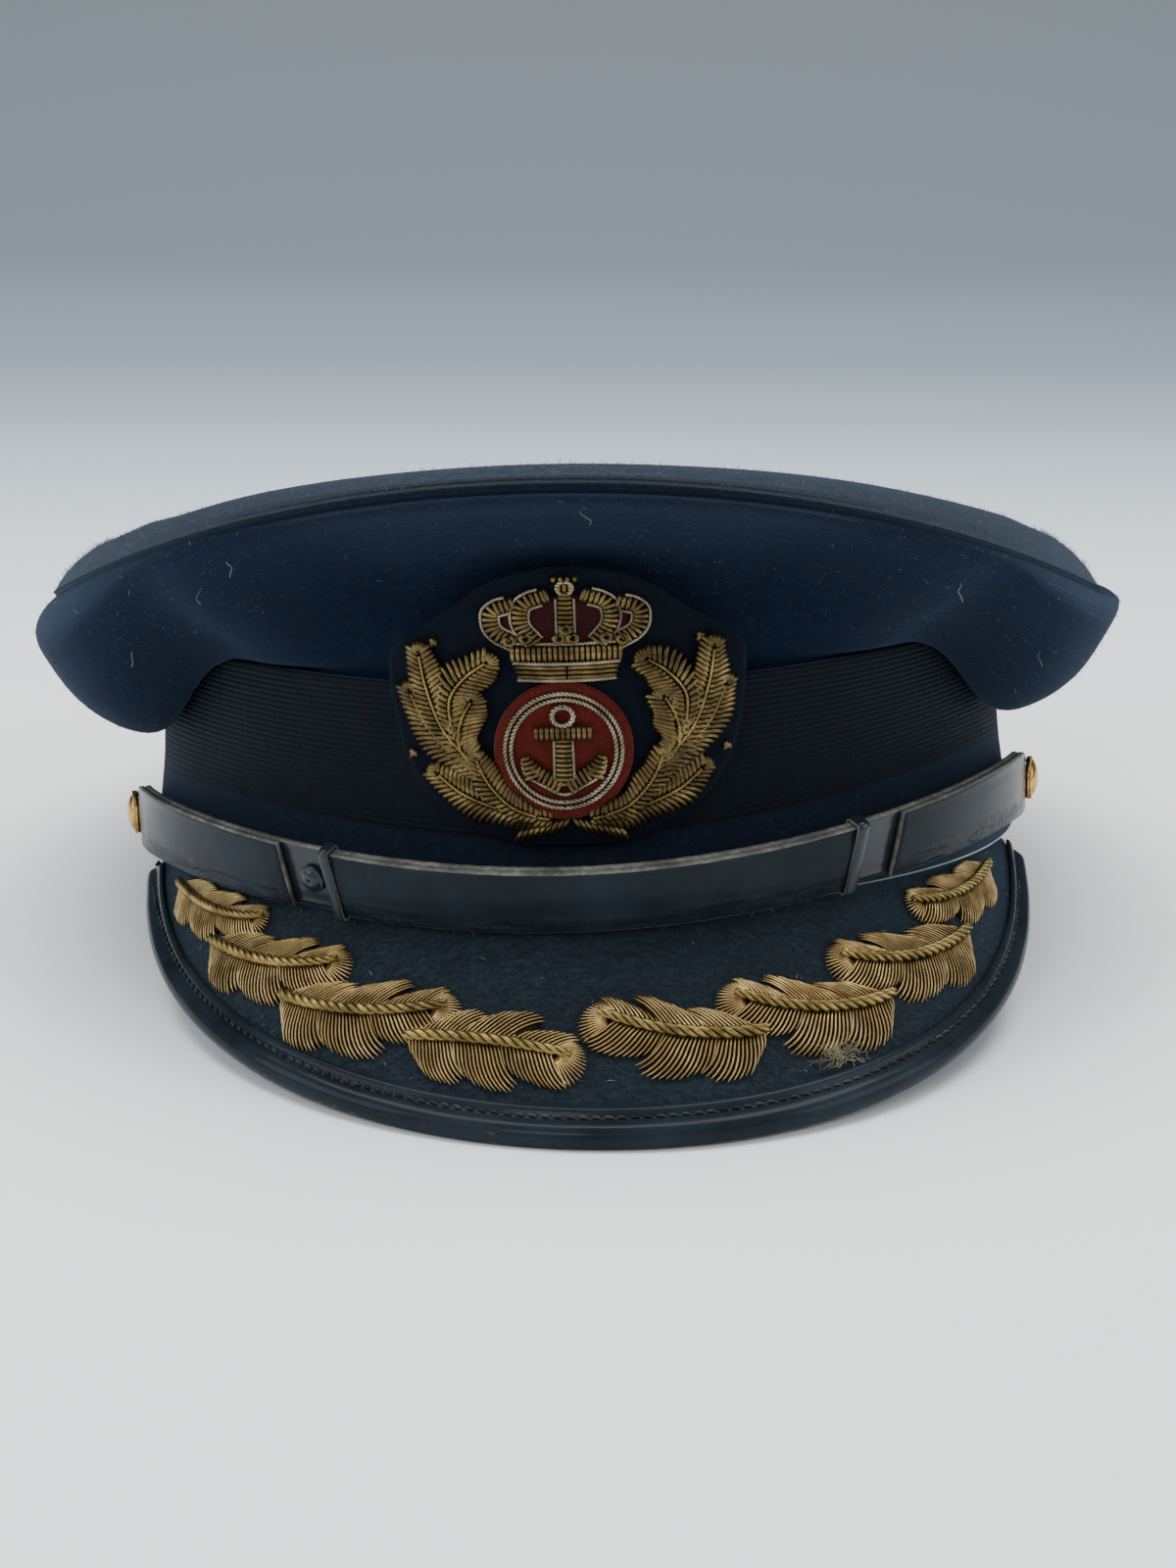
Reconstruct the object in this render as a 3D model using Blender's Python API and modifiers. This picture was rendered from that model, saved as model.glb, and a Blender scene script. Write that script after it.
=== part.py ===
"""A naval officer's peaked cap: wool crown, ribbed band, cloth peak with a bound edge, chin strap and badge.

The cap is drawn in its own frame, with its front to -Y, the head opening's plane at height zero and +Z up.
It is then tipped onto the peak's front edge and the band's back edge, as it rests on a table.
"""
import math

import bmesh
import bpy
from mathutils import Matrix, Vector

MM = 0.001

# General sizes
CLEARANCE = 0.3 * MM             # gap between neighbouring pieces
CLOTH = 1.5 * MM                 # thickness of the crown's wool
LEATHER = 1.05 * MM              # thickness of one strap layer
RING_STEPS = 48                  # stations round the head
VISOR_STEPS = 36                 # stations along the peak
TURNED_STEPS = 16                # stations round a turned piece
SHARP_ANGLE = math.radians(50)   # a sharper edge than this isn't smoothed
MERGE_DISTANCE = 0.01 * MM
CUT_DISTANCE = 0.001 * MM
SMALL = 0.01                     # step that finds a direction, in radians or as a share

# Band, measured on its outside at the waist
BAND_HALF_WIDTH = 88.8 * MM
BAND_FRONT = 104.3 * MM
BAND_BACK = 99.0 * MM
BAND_HEIGHT = 40.5 * MM          # at the front and the back
BAND_SIDE_RISE = 5.0 * MM        # how much higher its top edge is at the sides
BAND_WALL = 3.0 * MM
BAND_FLARE = 3.2 * MM            # how much wider it is at its bottom edge
FLARE_HEIGHT = 30.0 * MM         # the flare ends at this height
BAND_LEVELS = (0.0, 0.2, 0.45, 0.75, 1.0)  # shares of its height
BAND_HUG = 0.42 * MM             # gap to the crown's cloth, above it and inside it

# Crown
OVERHANG_FRONT = 26.7 * MM       # how far the seam stands out from the band's waist
OVERHANG_SIDE = 22.9 * MM
OVERHANG_BACK = 22.0 * MM
SEAM_FRONT = 77.4 * MM           # height of the seam between side and top
SEAM_SIDE = 50.3 * MM
SEAM_BACK = 52.0 * MM
SEAM_LEAN = 2.4 * MM             # the left side is higher by this, the right side lower
SEAM_POWER = 2.12                # how fast the seam falls from the front
SAG_SIDE = 18.4 * MM             # how far the cloth hangs below the band's top edge
SAG_BACK = 9.0 * MM
TUCK = 6.0 * MM                  # length of cloth inside the band
TOP_CENTRE_HEIGHT = 74.6 * MM
TOP_CENTRE_BACK = 4.0 * MM
TOP_PUFF = 3.8 * MM              # padding of the top panel inside its seam
WELT_RADIUS = 0.9 * MM
WELT_TURN = 1.5                  # the side's cloth turns in this many welt rooms below the seam
WELT_INSET = 1.1                 # and ends this many welt rooms inside it
FRONT_HOLD = math.radians(20)    # the stiff front keeps its section to this angle
SHOULDER_ANGLE = math.radians(42)
SIDE_ANGLE = math.radians(72)

# Peak
VISOR_WIDTH = 47.2 * MM          # along its slope at the front, binding included
VISOR_END = math.radians(78.8)   # angle where its edge meets the band
VISOR_FALL = 1.32                # how fast it narrows towards its ends
VISOR_SKEW = 0.13                # share by which the worn right side is fuller
VISOR_SLOPE_FRONT = math.radians(48.3)
VISOR_SLOPE_SIDE = math.radians(56.8)
VISOR_THICK = 2.4 * MM
VISOR_SHARES = (1.0, 0.75, 0.5, 0.25, 0.0)  # rows of the peak, as shares of its width
VISOR_NARROWEST = 1.5            # it ends where its cloth is this many thicknesses wide
LIMIT_STEPS = 400                # steps in the search for that end
BINDING_FLANGE = 4.6 * MM        # width of the stitched part of the binding
BINDING_ROLL = 2.7 * MM          # how far its rolled edge stands out from the peak
BINDING_LEATHER = 0.9 * MM
BINDING_GAP = 0.4 * MM
BINDING_SHOULDER = 0.75          # where the roll's face turns, as a share of its reach
BINDING_SHOULDER_DROP = 0.35     # and as a share of the way down to its middle
REST_SPREAD = math.radians(20)   # the cap rests on the peak between these angles

# Chin strap
STRAP_WIDTH = 13.2 * MM
STRAP_GAP = 2.6 * MM             # its inner face from the band's bottom edge, at the front
STRAP_SIDE_GAP = 0.3 * MM        # the same at the buttons
STRAP_SEAT = 0.55 * MM           # its lower edge from the peak's cloth, at the front
STRAP_LEAN = math.radians(26)    # its upper edge leans out by this at the front
STRAP_CLIMB = 5.4 * MM           # how much higher it is at the sides
STRAP_CLIMB_END = math.radians(60)   # it climbs up to this angle
STRAP_DROP = 1.4 * MM            # how far it dips again from there to its ends
STRAP_TILT = 1.2 * MM            # the right end is higher by this
STRAP_END = math.radians(84)
STRAP_END_RADIUS = 6.0 * MM
STRAP_END_SHARES = (0.15, 0.4, 0.7, 1.0)  # stations over the rounded end
STRAP_STEP = math.radians(4)
LEFT_PIECE_END = math.radians(-33.2)
RIGHT_PIECE_START = math.radians(36.9)
STUD_ANGLE = math.radians(-29.6)
STUD_RADIUS = 2.5 * MM
STUD_HEIGHT = 1.6 * MM
STUD_PROFILE = ((0, 1.0), (0.5, 0.85), (0.85, 0.5), (1.0, 0.2), (1.0, 0), (0, 0))  # shares of both
KEEPER_ANGLES = {"keeper_left": math.radians(-26.6), "keeper_right": math.radians(30.6)}
KEEPER_WIDTHS = {"keeper_left": 2.0 * MM, "keeper_right": 2.7 * MM}
KEEPER_LEATHER = 0.8 * MM

# Side buttons
BUTTON_ANGLE = math.radians(78)
BUTTON_RADIUS = 4.4 * MM
BUTTON_DOME = 1.9 * MM
BUTTON_RIM = 0.6 * MM
DOME_END = math.radians(80)      # the dome's profile runs from its top to this angle
DOME_STEPS = 5
SHANK_RADIUS = 1.2 * MM
SHANK_ROOM = 0.45 * MM           # gap round the shank in its hole
HOLE_STEPS = 12
BUTTONS = {"button_left": (-1, "strap_left"), "button_right": (1, "strap_right")}

# Badge, drawn flat and bent round the front of the cap
BADGE_WIDTH = 56.4 * MM
BADGE_HEIGHT = 46.8 * MM
BADGE_BASE = 13.8 * MM           # height of its lowest point
BADGE_CENTRE = -0.8 * MM
BADGE_LEAN = math.radians(6.5)
BADGE_STRIP = 5.0 * MM           # a bent piece is cut into strips about this wide
BACKING_MARGIN = 1.8 * MM
BACKING_THICK = 1.6 * MM
EMBROIDERY = 1.6 * MM            # height of the bullion above the backing
MEDALLION_WIDTH = 23.2 * MM
MEDALLION_HEIGHT = 25.2 * MM
MEDALLION_SHIFT = -0.9 * MM      # it lies off the badge's centre by this
MEDALLION_RISE = 3.2 * MM        # its lowest point above the badge's
MEDALLION_THICK = 1.2 * MM
MEDALLION_STEPS = 24
MEDALLION_RINGS = ((1.0, 0.6), (0.92, 1.0), (0.5, 1.0))  # shares of its size and its height
CORD_RADIUS = 0.55 * MM
CORD_STEPS = 26
CORD_SIZES = {"badge_cord_outer": 0.90, "badge_cord_inner": 0.76}  # shares of the medallion's size
ANCHOR_HEIGHT = 17.0 * MM
ANCHOR_WIDTH = 13.6 * MM
ANCHOR_THICK = 1.0 * MM
ORNAMENT_WIDTH = 26.6 * MM       # the heraldic crown over the medallion
ORNAMENT_RISE = 28.4 * MM        # its lowest point above the badge's
ORNAMENT_BEVEL = 0.6 * MM
BACKING_STEPS = 8

# Leaves on the peak
LEAF_WIDTH = 15.0 * MM
LEAF_PAD = 1.5 * MM              # height of the padding at the midrib
LEAF_EDGE = 0.6 * MM
# Section of a leaf: share of its half-width and height.
LEAF_SECTION = ((-1, 0.0), (-0.97, LEAF_EDGE), (0, LEAF_PAD), (0.97, LEAF_EDGE), (1, 0.0))

# One row for each line round the crown's side, from the band up to the seam.
# out: share of the overhang; rise: share of the height from band to seam; sag: share of the sag.
CROWN_COLUMNS = ("front_out", "front_rise", "shoulder_out", "shoulder_rise",
                 "side_out", "side_rise", "side_sag", "back_out", "back_rise", "back_sag")
CROWN_ROWS = (
    (-0.120, 0.08, 0.02, 0.02, 0.027, 0.02, 0.00, 0.030, 0.02, 0.00),
    (-0.100, 0.22, 0.06, 0.05, 0.033, 0.00, 0.45, 0.045, 0.00, 0.45),
    (-0.050, 0.38, 0.16, 0.13, 0.060, 0.00, 0.86, 0.090, 0.00, 0.85),
    (0.040, 0.52, 0.32, 0.25, 0.210, 0.00, 1.00, 0.230, 0.00, 1.00),
    (0.180, 0.64, 0.51, 0.38, 0.490, 0.00, 0.93, 0.500, 0.00, 0.90),
    (0.380, 0.745, 0.70, 0.53, 0.780, 0.00, 0.69, 0.760, 0.00, 0.55),
    (0.620, 0.84, 0.86, 0.70, 0.990, 0.00, 0.32, 0.950, 0.06, 0.12),
    (0.860, 0.92, 0.97, 0.86, 1.110, 0.00, -0.03, 1.050, 0.50, 0.00),
)

# One row for each ring of the top panel, from the seam to the centre.
# size: share of the seam's outline; climb: share of the way to the centre's height; puff: share of TOP_PUFF.
TOP_COLUMNS = ("size", "climb", "puff")
TOP_ROWS = (
    (0.98, 0.065, 0.38), (0.955, 0.16, 0.57), (0.92, 0.235, 0.80), (0.84, 0.37, 1.00),
    (0.65, 0.60, 0.90), (0.45, 0.80, 0.57), (0.25, 0.93, 0.23),
)

# One row for each leaf: its midrib's start, bend and tip, as degrees round the cap and shares of the
# peak's width.
LEAF_COLUMNS = ("start_angle", "start_share", "bend_angle", "bend_share", "tip_angle", "tip_share", "size")
LEAF_ROWS = {
    "oak_leaf_left_1": (-15.6, 0.625, -8.6, 0.56, 0.2, 0.655, 1.0),
    "oak_leaf_left_2": (-30.1, 0.58, -22, 0.59, -11.2, 0.44, 1.0),
    "oak_leaf_left_3": (-43.5, 0.45, -33, 0.475, -24.4, 0.30, 0.9),
    "oak_leaf_left_4": (-56.5, 0.16, -47, 0.32, -36.5, 0.15, 0.68),
    "oak_leaf_right_1": (16.5, 0.60, 9, 0.605, 0.6, 0.445, 1.0),
    "oak_leaf_right_2": (30.5, 0.59, 22, 0.60, 13.6, 0.40, 1.0),
    "oak_leaf_right_3": (45, 0.47, 35, 0.52, 26, 0.31, 0.95),
    "oak_leaf_right_4": (57, 0.16, 49, 0.32, 38.5, 0.15, 0.72),
}

# Outline of a leaf: share of the way along its midrib, then its reach towards the band and towards the
# peak's edge as shares of its half-width.
LEAF_OUTLINE = (
    (0.0, 0.08, 0.08), (0.08, 0.15, 0.40), (0.18, 0.22, 0.96), (0.28, 0.32, 0.92), (0.38, 0.62, 0.88),
    (0.48, 0.95, 1.20), (0.58, 0.80, 1.04), (0.66, 0.70, 0.70), (0.75, 0.84, 0.58), (0.84, 0.60, 0.50),
    (0.93, 0.42, 0.40), (1.0, 0.12, 0.12),
)

# Outline of the badge's backing, from its bottom to its top: share of its height, share of its half-width.
BACKING_OUTLINE = (
    (0.0, 0.30), (0.05, 0.52), (0.14, 0.76), (0.28, 0.93), (0.44, 1.0), (0.62, 1.02), (0.72, 1.0),
    (0.79, 0.84), (0.85, 0.68), (0.92, 0.52), (0.97, 0.34), (1.0, 0.12),
)

# Half outline of the heraldic crown: share of its half-width, share of its height.
ORNAMENT_OUTLINE = ((0.66, 0.0), (0.66, 0.30), (0.80, 0.40), (0.96, 0.58), (1.0, 0.74), (0.88, 0.86),
                    (0.66, 0.80), (0.52, 0.90), (0.32, 0.84), (0.20, 0.86), (0.22, 0.95), (0.10, 1.0))

# Half outline of the anchor in the same shares: foot, fluke, arm, shank, stock and eye.
ANCHOR_OUTLINE = ((0.30, 0.06), (0.62, 0.16), (0.78, 0.27), (1.0, 0.22), (0.96, 0.50), (0.70, 0.42),
                  (0.56, 0.33), (0.17, 0.24), (0.14, 0.66), (0.72, 0.68), (0.72, 0.78), (0.14, 0.80),
                  (0.30, 0.88), (0.18, 0.98))

# Wreath of one side: one row for each leaf, as shares of the badge's half-width and height.
WREATH_COLUMNS = ("turn", "inner", "outer", "lobe")
WREATH_ROWS = (
    (-88, 0.63, 0.72, 0.00), (-78, 0.65, 0.77, 0.20), (-68, 0.64, 0.81, 0.60), (-58, 0.62, 0.84, 0.10),
    (-47, 0.59, 0.88, 0.80), (-35, 0.56, 0.91, 0.15), (-22, 0.535, 0.95, 0.90), (-8, 0.53, 0.96, 0.15),
    (6, 0.535, 1.00, 0.90), (20, 0.56, 1.03, 0.20), (33, 0.62, 1.10, 0.60), (43, 0.74, 1.17, 0.00),
)
# Section of the wreath: share of the way across and share of its height, over the top and back below.
WREATH_SECTION = ((0.0, 0.0), (0.08, 0.7), (0.5, 1.0), (0.92, 0.7), (1.0, 0.0), (0.67, 0.0), (0.33, 0.0))
WREATH_LOBE = 0.05               # how far a lobe stands out, as a share of the half-width
WREATH_CENTRE_UP = 0.36          # the wreath's centre, as a share of the badge's height
WREATH_RATIO = 0.80              # height of its arc to its width

COLOURS = {
    "wool": ((0.010, 0.014, 0.030), 0.95, 0.0),
    "mohair": ((0.006, 0.014, 0.022), 0.9, 0.0),
    "patent": ((0.010, 0.012, 0.016), 0.2, 0.0),
    "gilt": ((0.72, 0.46, 0.14), 0.3, 1.0),
    "bullion": ((0.34, 0.24, 0.09), 0.45, 0.8),
    "leaf": ((0.36, 0.24, 0.12), 0.5, 0.6),
    "velvet": ((0.20, 0.012, 0.015), 0.9, 0.0),
}


def mix(start, end, share):
    return start + (end - start) * share


def ease(share):
    share = min(max(share, 0.0), 1.0)
    return share * share * (3 - 2 * share)


def turn_from_front(angle):
    """How far a station lies from the front, from 0 to pi, on either side."""
    return abs(math.atan2(math.sin(angle), math.cos(angle)))


# The cap's driving surfaces

def head_oval(angle, grow=0.0):
    """Point of the band's waist outline moved out by grow, and the outward direction there."""
    depth = BAND_FRONT if math.cos(angle) > 0 else BAND_BACK
    normal = Vector((math.sin(angle) / BAND_HALF_WIDTH, -math.cos(angle) / depth, 0)).normalized()
    point = Vector((BAND_HALF_WIDTH * math.sin(angle), -depth * math.cos(angle), 0))
    return point + normal * grow, normal


def band_top(angle):
    return BAND_HEIGHT + BAND_SIDE_RISE * math.sin(angle) ** 2


def flare(height):
    return BAND_FLARE * max(1 - height / FLARE_HEIGHT, 0.0) ** 2


def overhang(angle):
    end = OVERHANG_FRONT if math.cos(angle) > 0 else OVERHANG_BACK
    return mix(OVERHANG_SIDE, end, math.cos(angle) ** 2)


def seam_height(angle):
    forward = math.cos(angle)
    if forward > 0:
        level = mix(SEAM_SIDE, SEAM_FRONT, forward ** SEAM_POWER)
    else:
        level = mix(SEAM_SIDE, SEAM_BACK, forward ** 2)
    return level - SEAM_LEAN * math.sin(angle)


def crown_section(angle):
    """Profile of the crown's side at one station, as (out, height) from inside the band to the seam."""
    turn = turn_from_front(angle)
    to_shoulder = ease((turn - FRONT_HOLD) / (SHOULDER_ANGLE - FRONT_HOLD))
    to_side = ease((turn - SHOULDER_ANGLE) / (SIDE_ANGLE - SHOULDER_ANGLE))
    to_back = ease((turn - SIDE_ANGLE) / (math.pi - SIDE_ANGLE))
    base, span = band_top(angle), seam_height(angle) - band_top(angle)
    sag = mix(SAG_SIDE, SAG_BACK, to_back)
    profile = [(-BAND_WALL - BAND_HUG, base - TUCK), (-BAND_WALL - BAND_HUG, base + BAND_HUG)]
    for values in CROWN_ROWS:
        row = dict(zip(CROWN_COLUMNS, values))
        out = mix(row["front_out"], row["shoulder_out"], to_shoulder)
        rise = mix(row["front_rise"], row["shoulder_rise"], to_shoulder)
        out = mix(mix(out, row["side_out"], to_side), row["back_out"], to_back)
        rise = mix(mix(rise, row["side_rise"], to_side), row["back_rise"], to_back)
        drop = mix(row["side_sag"] * to_side, row["back_sag"], to_back)
        profile.append((out * overhang(angle), base + rise * span - drop * sag + BAND_HUG))
    reach, top, room = overhang(angle), seam_height(angle), WELT_RADIUS + CLEARANCE
    profile.append((reach - WELT_RADIUS / 3, top - room * WELT_TURN))
    profile.append((reach - room * WELT_INSET, top - CLEARANCE))
    return profile


def visor_width(angle):
    share = angle / VISOR_END
    fullness = 1 + VISOR_SKEW * math.sin(angle)
    return VISOR_WIDTH * fullness * max(1 - share * share, 0.0) ** VISOR_FALL


def visor_slope(angle):
    return mix(VISOR_SLOPE_FRONT, VISOR_SLOPE_SIDE, (angle / VISOR_END) ** 2)


def visor_point(angle, reach, lift=0.0):
    """Point on the peak's upper face, reach out from the band along its slope and lift above it."""
    base, normal = head_oval(angle, BAND_FLARE)
    slope = visor_slope(angle)
    down = normal * math.cos(slope) - Vector((0, 0, math.sin(slope)))
    up = normal * math.sin(slope) + Vector((0, 0, math.cos(slope)))
    return base - Vector((0, 0, CLEARANCE)) + down * reach + up * lift


def visor_limit():
    """Angle where the peak is just wide enough to carry its binding."""
    narrowest = BINDING_ROLL + VISOR_NARROWEST * VISOR_THICK
    angle = VISOR_END
    while visor_width(-angle) < narrowest:
        angle -= VISOR_END / LIMIT_STEPS
    return angle


def strap_frame(angle):
    """Origin at the strap's lower inner edge, with its upward and outward directions."""
    base, normal = head_oval(angle, BAND_FLARE + mix(STRAP_GAP, STRAP_SIDE_GAP, math.sin(angle) ** 4))
    above = STRAP_SEAT - STRAP_GAP * math.sin(VISOR_SLOPE_FRONT)
    seat = above / math.cos(VISOR_SLOPE_FRONT) - CLEARANCE
    climb = STRAP_CLIMB * ease(abs(angle) / STRAP_CLIMB_END) + STRAP_TILT * math.sin(angle)
    climb -= STRAP_DROP * ease((abs(angle) - STRAP_CLIMB_END) / (STRAP_END - STRAP_CLIMB_END))
    lean = STRAP_LEAN * max(math.cos(angle), 0.0) ** 2
    rise = Vector((0, 0, 1))
    across = normal * math.sin(lean) + rise * math.cos(lean)
    face = normal * math.cos(lean) - rise * math.sin(lean)
    return base + rise * (seat + climb), across, face


def strap_point(angle, across, depth):
    origin, upward, face = strap_frame(angle)
    return origin + upward * across + face * depth


def badge_point(x, up, lift):
    """Point of the badge, x across and up from its base line, lift in front of the board it lies on."""
    angle = math.asin((x + BADGE_CENTRE) / BAND_HALF_WIDTH)
    height = BADGE_BASE + up
    foot = BADGE_BASE - BACKING_MARGIN
    board = flare(foot) + CLEARANCE + (height - foot) * math.tan(BADGE_LEAN)
    base, normal = head_oval(angle, board + lift)
    return base + Vector((0, 0, height))


# Modelling helpers

def remove_everything():
    for thing in list(bpy.data.objects):
        bpy.data.objects.remove(thing, do_unlink=True)


def new_collection(name):
    made = bpy.data.collections.new(name)
    bpy.context.scene.collection.children.link(made)
    return made


def material(name):
    made = bpy.data.materials.get(name)
    if made is None:
        colour, roughness, metallic = COLOURS[name]
        made = bpy.data.materials.new(name)
        made.use_nodes = True
        shader = made.node_tree.nodes["Principled BSDF"]
        shader.inputs["Base Color"].default_value = (*colour, 1)
        shader.inputs["Roughness"].default_value = roughness
        shader.inputs["Metallic"].default_value = metallic
    return made


def place(name, data, look, collection):
    made = bpy.data.objects.new(name, data)
    data.materials.append(material(look))
    collection.objects.link(made)
    return made


def mesh_piece(name, bm, look, collection, smooth=True):
    if bm.calc_volume(signed=True) < 0:
        bmesh.ops.reverse_faces(bm, faces=bm.faces)
    data = bpy.data.meshes.new(name)
    bm.to_mesh(data)
    bm.free()
    made = place(name, data, look, collection)
    if smooth:
        data.shade_smooth()
        data.set_sharp_from_angle(angle=SHARP_ANGLE)
    return made


def loft(sections, ring=False):
    """Closed solid through closed sections; a ring joins its last section to its first."""
    bm = bmesh.new()
    loops = [[bm.verts.new(point) for point in section] for section in sections]
    pairs = list(zip(loops, loops[1:]))
    if ring:
        pairs.append((loops[-1], loops[0]))
    for one, two in pairs:
        for i in range(len(one)):
            j = (i + 1) % len(one)
            bm.faces.new((one[i], one[j], two[j], two[i]))
    if not ring:
        bm.faces.new(reversed(loops[0]))
        bm.faces.new(loops[-1])
    return bm


def sheet_piece(name, rows, thickness, look, collection, ring=False, centre=None):
    """Open surface through rows of points, thickened behind its visible face."""
    bm = bmesh.new()
    grid = [[bm.verts.new(point) for point in row] for row in rows]
    columns = len(grid[0])
    for one, two in zip(grid, grid[1:]):
        for i in range(columns if ring else columns - 1):
            j = (i + 1) % columns
            bm.faces.new((one[i], one[j], two[j], two[i]))
    if centre is not None:
        middle = bm.verts.new(centre)
        for i in range(columns):
            bm.faces.new((grid[-1][i], grid[-1][(i + 1) % columns], middle))
    data = bpy.data.meshes.new(name)
    bm.to_mesh(data)
    bm.free()
    data.shade_smooth()
    made = place(name, data, look, collection)
    solid = made.modifiers.new("Thickness", "SOLIDIFY")
    solid.thickness = thickness
    solid.offset = -1
    solid.use_even_offset = True
    return made


def tube_piece(name, points, radius, look, collection, cyclic=True):
    """Round cord through the points."""
    curve = bpy.data.curves.new(name, "CURVE")
    curve.dimensions = "3D"
    spline = curve.splines.new("POLY")
    spline.points.add(len(points) - 1)
    for spot, point in zip(spline.points, points):
        spot.co = (*point, 1)
    spline.use_cyclic_u = cyclic
    curve.bevel_depth = radius
    curve.bevel_resolution = 1
    curve.use_fill_caps = not cyclic
    return place(name, curve, look, collection)


def turned_piece(name, profile, look, collection):
    """Solid turned round Z from a profile that runs down its outer side."""
    bm = bmesh.new()
    spots = [bm.verts.new((radius, 0, height)) for radius, height in profile]
    for one, two in zip(spots, spots[1:]):
        bm.edges.new((one, two))
    data = bpy.data.meshes.new(name)
    bm.to_mesh(data)
    bm.free()
    made = place(name, data, look, collection)
    screw = made.modifiers.new("Turn", "SCREW")
    screw.steps = TURNED_STEPS
    screw.render_steps = TURNED_STEPS
    screw.use_merge_vertices = True
    screw.merge_threshold = MERGE_DISTANCE
    return made


def aim(thing, point, direction):
    """Puts an object at a point, with its Z axis along a direction."""
    turn = direction.to_track_quat("Z", "Y").to_matrix().to_4x4()
    thing.matrix_world = Matrix.Translation(point) @ turn


def drill(thing, cutter):
    cut = thing.modifiers.new("Hole", "BOOLEAN")
    cut.operation = "DIFFERENCE"
    cut.solver = "EXACT"
    cut.object = cutter


def spaced(start, end, count):
    return [mix(start, end, i / count) for i in range(count + 1)]


def round_steps(count=RING_STEPS):
    return [2 * math.pi * i / count for i in range(count)]


# Crown and band

def make_band(parts):
    sections = []
    for angle in round_steps():
        top = band_top(angle)
        outside = [(flare(top * level), top * level) for level in BAND_LEVELS]
        inside = [(out - BAND_WALL, height) for out, height in reversed(outside)]
        section = []
        for out, height in outside + inside:
            point, _ = head_oval(angle, out)
            section.append(point + Vector((0, 0, height)))
        sections.append(section)
    return mesh_piece("band", loft(sections, ring=True), "mohair", parts)


def make_crown_side(parts):
    profiles = [crown_section(angle) for angle in round_steps()]
    rows = []
    for i in range(len(profiles[0])):
        row = []
        for angle, profile in zip(round_steps(), profiles):
            out, height = profile[i]
            point, _ = head_oval(angle, out)
            row.append(point + Vector((0, 0, height)))
        rows.append(row)
    return sheet_piece("crown_side", rows, CLOTH, "wool", parts, ring=True)


def make_crown_top(parts):
    centre = Vector((0, TOP_CENTRE_BACK, TOP_CENTRE_HEIGHT))
    rim = []
    for angle in round_steps():
        point, _ = head_oval(angle, overhang(angle) - WELT_RADIUS - CLEARANCE / 3)
        rim.append(point + Vector((0, 0, seam_height(angle) + WELT_RADIUS + CLEARANCE)))
    rows = [rim]
    for values in TOP_ROWS:
        row = dict(zip(TOP_COLUMNS, values))
        ring = []
        for edge in rim:
            point = centre.lerp(edge, row["size"])
            point.z = mix(edge.z, centre.z, row["climb"]) + TOP_PUFF * row["puff"]
            ring.append(point)
        rows.append(ring)
    return sheet_piece("crown_top", rows, CLOTH, "wool", parts, ring=True, centre=centre)


def make_crown_welt(parts):
    line = []
    for angle in round_steps():
        point, _ = head_oval(angle, overhang(angle))
        line.append(point + Vector((0, 0, seam_height(angle))))
    return tube_piece("crown_welt", line, WELT_RADIUS, "wool", parts)


# Peak

def visor_angles():
    limit = visor_limit()
    return spaced(-limit, limit, VISOR_STEPS)


def make_visor(parts):
    rows = []
    for share in VISOR_SHARES:
        row = []
        for angle in visor_angles():
            row.append(visor_point(angle, (visor_width(angle) - BINDING_ROLL) * share))
        rows.append(row)
    return sheet_piece("visor", rows, VISOR_THICK, "wool", parts)


def binding_section(angle):
    """Closed section of the binding: a flange above, a rolled edge and a flange below the peak."""
    edge = visor_width(angle) - BINDING_ROLL
    flange = min(BINDING_FLANGE, edge - BINDING_LEATHER)
    near, far = BINDING_GAP, BINDING_GAP + BINDING_LEATHER
    top, bottom, middle = 0.0, -VISOR_THICK, -VISOR_THICK / 2
    shoulder = BINDING_ROLL * BINDING_SHOULDER
    outline = [
        (-flange, top + far), (-flange / 4, top + far), (near, top + far),
        (shoulder, mix(top, middle, BINDING_SHOULDER_DROP)), (BINDING_ROLL, middle),
        (shoulder, mix(bottom, middle, BINDING_SHOULDER_DROP)), (near, bottom - far), (-flange, bottom - far),
        (-flange, bottom - near), (near, bottom - near), (near, top + near), (-flange, top + near),
    ]
    return [visor_point(angle, edge + out, lift) for out, lift in outline]


def make_visor_binding(parts):
    sections = [binding_section(angle) for angle in visor_angles()]
    return mesh_piece("visor_binding", loft(sections), "patent", parts)


# Chin strap

def strap_half_width(angle):
    """Half the strap's width, rounded off towards its two ends."""
    to_end = (STRAP_END - abs(angle)) * BAND_HALF_WIDTH
    half = STRAP_WIDTH / 2
    if to_end >= STRAP_END_RADIUS:
        return half
    inside = 1 - (1 - to_end / STRAP_END_RADIUS) ** 2
    return max(half * math.sqrt(max(inside, 0.0)), half / 4)


def strap_piece(name, start, end, inner, outer, parts):
    steps = int((end - start) / STRAP_STEP)
    angles = set(spaced(start, end, steps))
    rounding = STRAP_END_RADIUS / BAND_HALF_WIDTH
    for share in STRAP_END_SHARES:
        for angle in (STRAP_END - rounding * share, rounding * share - STRAP_END):
            if start < angle < end:
                angles.add(angle)
    middle = STRAP_WIDTH / 2
    sections = []
    for angle in sorted(angles):
        half = strap_half_width(angle)
        low, high = middle - half, middle + half
        section = [(low, inner), (high, inner), (high, outer), (low, outer)]
        sections.append([strap_point(angle, across, depth) for across, depth in section])
    return mesh_piece(name, loft(sections), "patent", parts, smooth=False)


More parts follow.
